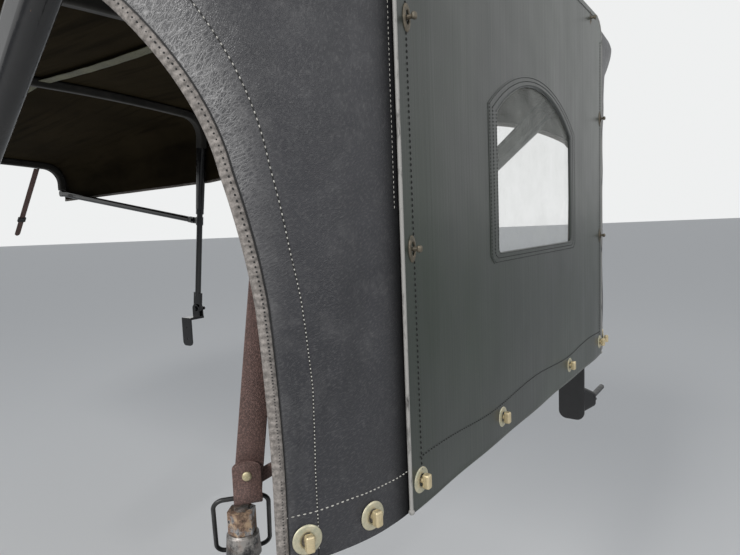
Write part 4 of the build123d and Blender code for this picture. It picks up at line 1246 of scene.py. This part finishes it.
class TOP_OT_webbing(bpy.types.Operator):
    """Webbing under the roof, from bow to bow"""

    bl_idname = "folding_top.webbing"
    bl_label = "Webbing"

    def execute(self, context):
        sag = context.scene.top_leather.sag + 0.001
        for name in DECK_FIELDS:
            low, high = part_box(f"webbing_{name}")
            z_from, z_to = (high.z, low.z) if name == "front" else (low.z + 0.002, high.z)

            def place(u, v):
                z = z_from + v * (z_to - z_from) - sag * np.sin(math.pi * v)
                curl = 0.0008 * np.sin(v * 40) * (u - 0.5)
                return low.x + v * (high.x - low.x), (u - 0.5) * WEBBING_WIDE, z + curl

            def flat(u, v):
                return u * (high.y - low.y), v * (high.x - low.x)

            tape = cloth_grid(f"webbing_tape_{name}", 10, 90, place, flat, ("webbing",))
            turn_faces(tape, lambda c: np.array([0, 0, 1.0]))
            thicken(tape, WEBBING_THICK)
            settle(tape, f"webbing_{name}")
        return {"FINISHED"}


# Back strap: its top, the middle of the ring's upper wire, and the way out from the quarter there
STRAP_TOP = Vector((0.076, 0.450, 0.6379))
STRAP_RING = Vector((0.09667, 0.537852, 0.029))
STRAP_OUT, UP = Vector((-0.766044, 0.642788, 0)), Vector((0, 0, 1))
# The strap's section, the loop's inner radius, how far its end comes back up, and its rivet
STRAP_WIDE, STRAP_THICK, STRAP_LOOP = 0.027, 0.003, 0.0036
STRAP_FOLD, RIVET_UP, RIVET_R = 0.036, 0.021, 0.0047
TAB_WIDE, TAB_THICK = 0.013, 0.0022


def band(name, path, facing, wide, thick, taper):
    """A strap along a path: a flat section with rounded edges, facing as given, its end rounded off."""
    half, flat = wide / 2, thick / 2
    edge = half - flat * 0.6
    profile = [(-half, -flat * 0.5), (-edge, -flat), (edge, -flat), (half, -flat * 0.5),
               (half, flat * 0.5), (edge, flat), (-edge, flat), (-half, flat * 0.5)]
    along = lengths_along(path)
    near = np.clip(1 - (along[-1] - along) / taper, 0, 1)
    return swept(name, path, facing, profile, "strap", widths=np.sqrt(1 - (0.97 * near) ** 2))


class TOP_OT_straps(bpy.types.Operator):
    """Back straps that hook over the rear corners, and the front straps"""

    bl_idname = "folding_top.straps"
    bl_label = "Straps"

    def execute(self, context):
        lay = STRAP_RING - STRAP_OUT * (STRAP_LOOP - STRAP_THICK * 1.5 - GAP)
        pieces = (self.back_strap(lay), "back_strap"), (self.rivet(lay), "strap_rivet"), (self.tab(), None)
        for piece, replaced in pieces:
            for each, side in both_sides(piece):
                settle(each, replaced and f"{replaced}_{side}")
        for name, side in SIDES:
            self.front_strap(name, side)
        return {"FINISHED"}

    def back_strap(self, lay):
        """Down from its top to the ring, half round the ring's wire, and back up to its riveted end."""
        out, mid = STRAP_OUT, STRAP_LOOP + STRAP_THICK / 2
        behind, before = STRAP_RING - out * mid, STRAP_RING + out * mid
        path, facing = [], []
        for share in np.arange(60) / 60:
            path.append(STRAP_TOP.lerp(behind + UP * 0.004, share))
            facing.append(Vector((-1, 0, 0)).lerp(out, min(1, share * 1.15)).normalized())
        for turn in math.pi * np.arange(13) / 12:
            path.append(STRAP_RING - out * mid * math.cos(turn) - UP * mid * math.sin(turn))
            facing.append((out * math.cos(turn) + UP * math.sin(turn)).normalized())
        for share in np.arange(1, 41) / 40:
            ease = min(1, share * 2.2)
            path.append(before.lerp(lay, ease * ease * (3 - 2 * ease)) + UP * STRAP_FOLD * share)
            facing.append(-out)
        return band("leather_back_strap_left", path, facing, STRAP_WIDE, STRAP_THICK, 0.007)

    def rivet(self, lay):
        deselect()
        face = lay + STRAP_OUT * STRAP_THICK * 0.5 + UP * RIVET_UP
        turn = STRAP_OUT.to_track_quat("Z", "Y").to_euler()
        bpy.ops.mesh.primitive_uv_sphere_add(segments=28, ring_count=14, radius=RIVET_R, location=face,
                                             rotation=turn)
        rivet = named("brass_rivet_left", "brass")
        put_points(rivet.data, points_of(rivet.data) * (1, 1, 0.42))
        apply_place(rotation=True, scale=True)
        smooth(rivet)
        return rivet

    def tab(self):
        """The small tongue of leather between the strap's loop and the quarter's edge."""
        side = STRAP_OUT.cross(UP)
        start = STRAP_RING - STRAP_OUT * 0.010 + UP * 0.012 - side * 0.008
        path = [start - side * 0.0026 * k + UP * 0.0012 * k for k in range(9)]
        return band("strap_tab_left", path, [STRAP_OUT] * 9, TAB_WIDE, TAB_THICK, 0.004)

    def front_strap(self, name, side):
        low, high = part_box(f"front_strap_{name}")
        y = (low.y + high.y) / 2
        start, end = Vector((low.x + 0.001, y, high.z - 0.002)), Vector((high.x - 0.001, y, low.z + 0.002))
        facing = Vector((0, side, 0)).cross((end - start).normalized())
        path = [start.lerp(end, k / 80) for k in range(81)]
        piece = band(f"leather_front_strap_{name}", path, [facing] * 81, STRAP_WIDE, STRAP_THICK, 0.014)
        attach(piece, "front_bow")
        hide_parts(f"front_strap_{name}")


def stand_on(piece, at, out):
    """Moves a piece modelled round Z onto a point of the cloth, its Z along the outward direction."""
    out = Vector(out).normalized()
    turn = np.array((UP.cross(out).normalized(), UP, out))
    put_points(piece.data, points_of(piece.data) @ turn + np.array(at))


def joined(pieces, name):
    """The pieces as one, in the place of the first."""
    choose(*pieces)
    bpy.ops.object.join()
    pieces[0].name = pieces[0].data.name = name
    return pieces[0]


class TOP_OT_fasteners(bpy.types.Operator):
    """Turn buttons and their washers on the curtain and the quarters"""

    bl_idname = "folding_top.fasteners"
    bl_label = "Fasteners"

    # A washer's width against its height, the radii of a button's neck and foot, and its head's size
    SIZES = {
        "hem": (1.0, 0.0034, 0.0064, (0.0086, 0.0160, 0.0084)),
        "edge": (0.5, 0.0024, 0.0032, (0.0066, 0.0074, 0.0050)),
    }

    def execute(self, context):
        # A washer stands clear of the curtain where that swells most
        off = GAP + CLOTH + GAP + 0.0012
        hem, edge = ([((-off, *at), BACK) for at in row] for row in (LOWER_ROW, EDGE_ROW + TOP_ROW))
        for turn in np.radians(QUARTER_ROW):
            for _, side in SIDES:
                out = (-math.cos(turn), side * math.sin(turn), 0)
                radius = CORNER_R + 0.001
                middle = side * (HALF - CORNER_R)
                hem.append(((CORNER_R + out[0] * radius, middle + out[1] * radius, 0), out))
        self.row("hem", hem, "plating", "head", "brass")
        self.row("edge", edge, "bronze", "bronze", "dark_brass")
        return {"FINISHED"}

    def row(self, row, places, washer_material, button_material, slot):
        """One row of fasteners, its washers in one piece and its buttons in another."""
        across, neck, foot, head = self.SIZES[row]
        washers, buttons = [], []
        for n, (at, out) in enumerate(places):
            washers.append(self.washer(f"{row}_washer_{n}", washer_material, across))
            buttons.append(self.button(f"{row}_button_{n}", button_material, neck, foot, head))
            stand_on(washers[-1], at, out)
            stand_on(buttons[-1], at, out)
        for kind, pieces in (("washers", washers), ("buttons", buttons)):
            piece = joined(pieces, f"turn_{row}_{kind}")
            if row == "hem":
                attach(piece, "body_irons")
                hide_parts(f"{row}_{kind}")
            else:
                settle(piece, f"{row}_{kind}")

    def washer(self, name, material, across):
        """A pressed washer: a flattened torus with a rolled rim and an oval hole, narrower if an eyelet."""
        radius = bpy.context.scene.top_metal.washer_radius
        deselect()
        bpy.ops.mesh.primitive_torus_add(major_segments=40, minor_segments=12, major_radius=radius * 0.74,
                                         minor_radius=radius * 0.26)
        piece = named(name, material)
        points = points_of(piece.data)
        from_rim = np.hypot(points[:, 0], points[:, 1]) / radius
        lip = 0.0006 * (from_rim < 0.66) * (points[:, 2] > 0)
        points[:, 2] = np.clip(points[:, 2] * 0.42, -0.0005, 0.0012) + lip
        points[from_rim < 0.6, 0] *= 0.86
        points[:, 0] *= across
        put_points(piece.data, points)
        smooth(piece, 60)
        return piece

    def button(self, name, material, neck_radius, foot_radius, size):
        """A turning stud: a neck, an oval head with rounded faces, and a foot in the hole, dark as painted
        shade.
        """
        stand = bpy.context.scene.top_metal.button_stand
        deselect()
        bpy.ops.mesh.primitive_cylinder_add(vertices=24, radius=neck_radius, depth=stand * 0.7,
                                            location=(0, 0, stand * 0.35))
        neck = named(name, material)
        apply_place()
        deselect()
        bpy.ops.mesh.primitive_cube_add(size=1, location=(0, 0, stand - size[2] / 2 - 0.0005), scale=size)
        head = named(f"{name}_head", material)
        apply_place(scale=True)
        soft = head.modifiers.new("round", "BEVEL")
        soft.width, soft.segments = 0.0022, 4
        apply_modifiers(head)
        deselect()
        # Painted shade: the foot takes the dark iron finish to stand for the shade in the washer's hole
        bpy.ops.mesh.primitive_cylinder_add(vertices=28, radius=foot_radius, depth=0.0016,
                                            location=(0, 0, -0.0006))
        foot = named(f"{name}_foot", "iron")
        apply_place()
        joined((neck, head, foot), name)
        smooth(neck, 50)
        return neck


# Finishes of the frame's own nodes, by the start of their names
NODE_FINISH = {
    ("rear_bow", "third_bow", "main_bow", "front_bow"): "bow",
    ("rear_socket", "third_socket", "main_socket", "main_post", "front_arm"): "paint",
    ("rear_iron", "front_iron", "clamp_bolt", "pivot"): "paint",
    ("saddle_iron",): "iron",
    ("saddle_nut",): "rust",
    ("strap_ring", "front_buckle"): "wire",
}


class TOP_OT_hardware(bpy.types.Operator):
    """Finishes of the bows, sockets, posts, irons, nuts and rings"""

    bl_idname = "folding_top.hardware"
    bl_label = "Bows and irons"

    def execute(self, context):
        for name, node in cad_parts.items():
            for starts, material in NODE_FINISH.items():
                if name.startswith(starts):
                    node.data.materials.clear()
                    node.data.materials.append(finish(material))
        return {"FINISHED"}


# The camera, as the photograph has it: place, turns in degrees, and its lens and film in millimetres
CAMERA_AT = (-0.304, 0.879, 0.284)
CAMERA_YAW, CAMERA_PITCH, CAMERA_ROLL = 35.85, 5.47, -2.23
CAMERA_LENS, SENSOR = 27.05, 36.0
FLOOR_Z = -1.15
# Lamps: where each stands, where it points, its size in metres and its power in watts
LAMPS = {
    "key": ((0.1, 4.4, 2.9), (0.2, 0.5, 0.3), 1.1, 165.0),
    "fill": ((-3.4, 0.4, 1.6), (0.0, 0.0, 0.3), 2.2, 34.0),
}


class TOP_OT_stage(bpy.types.Operator):
    """Camera, lamps, pale floor and backdrop"""

    bl_idname = "folding_top.stage"
    bl_label = "Stage"

    def execute(self, context):
        self.camera(context)
        self.world(context)
        for name, values in LAMPS.items():
            self.lamp(name, *values)
        self.floor()
        return {"FINISHED"}

    def camera(self, context):
        yaw, pitch, roll = (math.radians(a) for a in (CAMERA_YAW, CAMERA_PITCH, CAMERA_ROLL))
        ahead = Vector((math.sin(yaw) * math.cos(pitch), -math.cos(yaw) * math.cos(pitch), -math.sin(pitch)))
        right = Vector((-math.cos(yaw), -math.sin(yaw), 0))
        up = right.cross(ahead)
        across = math.cos(roll) * right + math.sin(roll) * up
        rolled = -math.sin(roll) * right + math.cos(roll) * up
        deselect()
        bpy.ops.object.camera_add(location=CAMERA_AT)
        camera = context.object
        turned = Matrix((across, rolled, -ahead)).transposed().to_4x4()
        camera.matrix_world = Matrix.Translation(CAMERA_AT) @ turned
        camera.data.lens, camera.data.sensor_width = CAMERA_LENS, SENSOR
        camera.data.clip_start, camera.data.clip_end = 0.01, 100
        context.scene.camera = camera
        context.scene.view_settings.view_transform = "Standard"

    def world(self, context):
        """A pale world to camera, reflections and glass, and a softer one for the light on the object."""
        world = bpy.data.worlds.new("pale_studio")
        context.scene.world = world
        world.use_nodes = True
        nodes, links = world.node_tree.nodes, world.node_tree.links
        light = nodes["Background"]
        light.inputs["Color"].default_value = (0.90, 0.94, 1.0, 1)
        light.inputs["Strength"].default_value = 0.42
        pale = nodes.new("ShaderNodeBackground")
        pale.inputs["Color"].default_value = (0.86, 0.87, 0.87, 1)
        rays = nodes.new("ShaderNodeLightPath")
        seen = rays.outputs["Is Camera Ray"]
        for kind in ("Is Glossy Ray", "Is Transmission Ray"):
            either = nodes.new("ShaderNodeMath")
            either.operation = "MAXIMUM"
            links.new(seen, either.inputs[0])
            links.new(rays.outputs[kind], either.inputs[1])
            seen = either.outputs[0]
        mixed = nodes.new("ShaderNodeMixShader")
        links.new(seen, mixed.inputs[0])
        links.new(light.outputs[0], mixed.inputs[1])
        links.new(pale.outputs[0], mixed.inputs[2])
        links.new(mixed.outputs[0], nodes["World Output"].inputs["Surface"])

    def lamp(self, name, at, towards, size, power):
        deselect()
        bpy.ops.object.light_add(type="AREA", location=at)
        lamp = bpy.context.object
        lamp.name = f"{name}_lamp"
        lamp.data.size, lamp.data.energy = size, power
        lamp.rotation_euler = (Vector(towards) - Vector(at)).to_track_quat("-Z", "Y").to_euler()

    def floor(self):
        deselect()
        bpy.ops.mesh.primitive_plane_add(size=600, location=(0, 0, FLOOR_Z))
        floor = bpy.context.object
        floor.name = "floor"
        pale = Finish("pale_floor", Base_Color=(0.80, 0.80, 0.79), Roughness=0.8, Specular_IOR_Level=0.1)
        floor.data.materials.append(pale.material)


class TOP_PT_panel(bpy.types.Panel):
    """Lists the folding top's pieces and their sizes"""

    bl_label = "Folding Top"
    bl_idname = "TOP_PT_panel"
    bl_space_type = "VIEW_3D"
    bl_region_type = "UI"
    bl_category = "Folding Top"

    def draw(self, context):
        for operator in OPERATORS:
            self.layout.operator(operator.bl_idname)
        for group, kind in SETTINGS.items():
            box = self.layout.box()
            for prop in kind.__annotations__:
                box.prop(getattr(context.scene, group), prop)


OPERATORS = (
    TOP_OT_stage, TOP_OT_quarters, TOP_OT_rear_curtain, TOP_OT_window, TOP_OT_roof, TOP_OT_webbing,
    TOP_OT_straps, TOP_OT_fasteners, TOP_OT_hardware,
)
CLASSES = (*SETTINGS.values(), *OPERATORS, TOP_PT_panel)


def register():
    for kind in CLASSES:
        bpy.utils.register_class(kind)
    for name, kind in SETTINGS.items():
        setattr(bpy.types.Scene, name, bpy.props.PointerProperty(type=kind))


def unregister():
    for name in SETTINGS:
        delattr(bpy.types.Scene, name)
    for kind in reversed(CLASSES):
        bpy.utils.unregister_class(kind)


def main():
    register()
    deselect()
    bpy.ops.folding_top.stage()
    bpy.ops.folding_top.quarters()
    bpy.ops.folding_top.rear_curtain()
    bpy.ops.folding_top.window()
    bpy.ops.folding_top.roof()
    bpy.ops.folding_top.webbing()
    bpy.ops.folding_top.straps()
    bpy.ops.folding_top.fasteners()
    bpy.ops.folding_top.hardware()


if __name__ == "__main__":
    main()
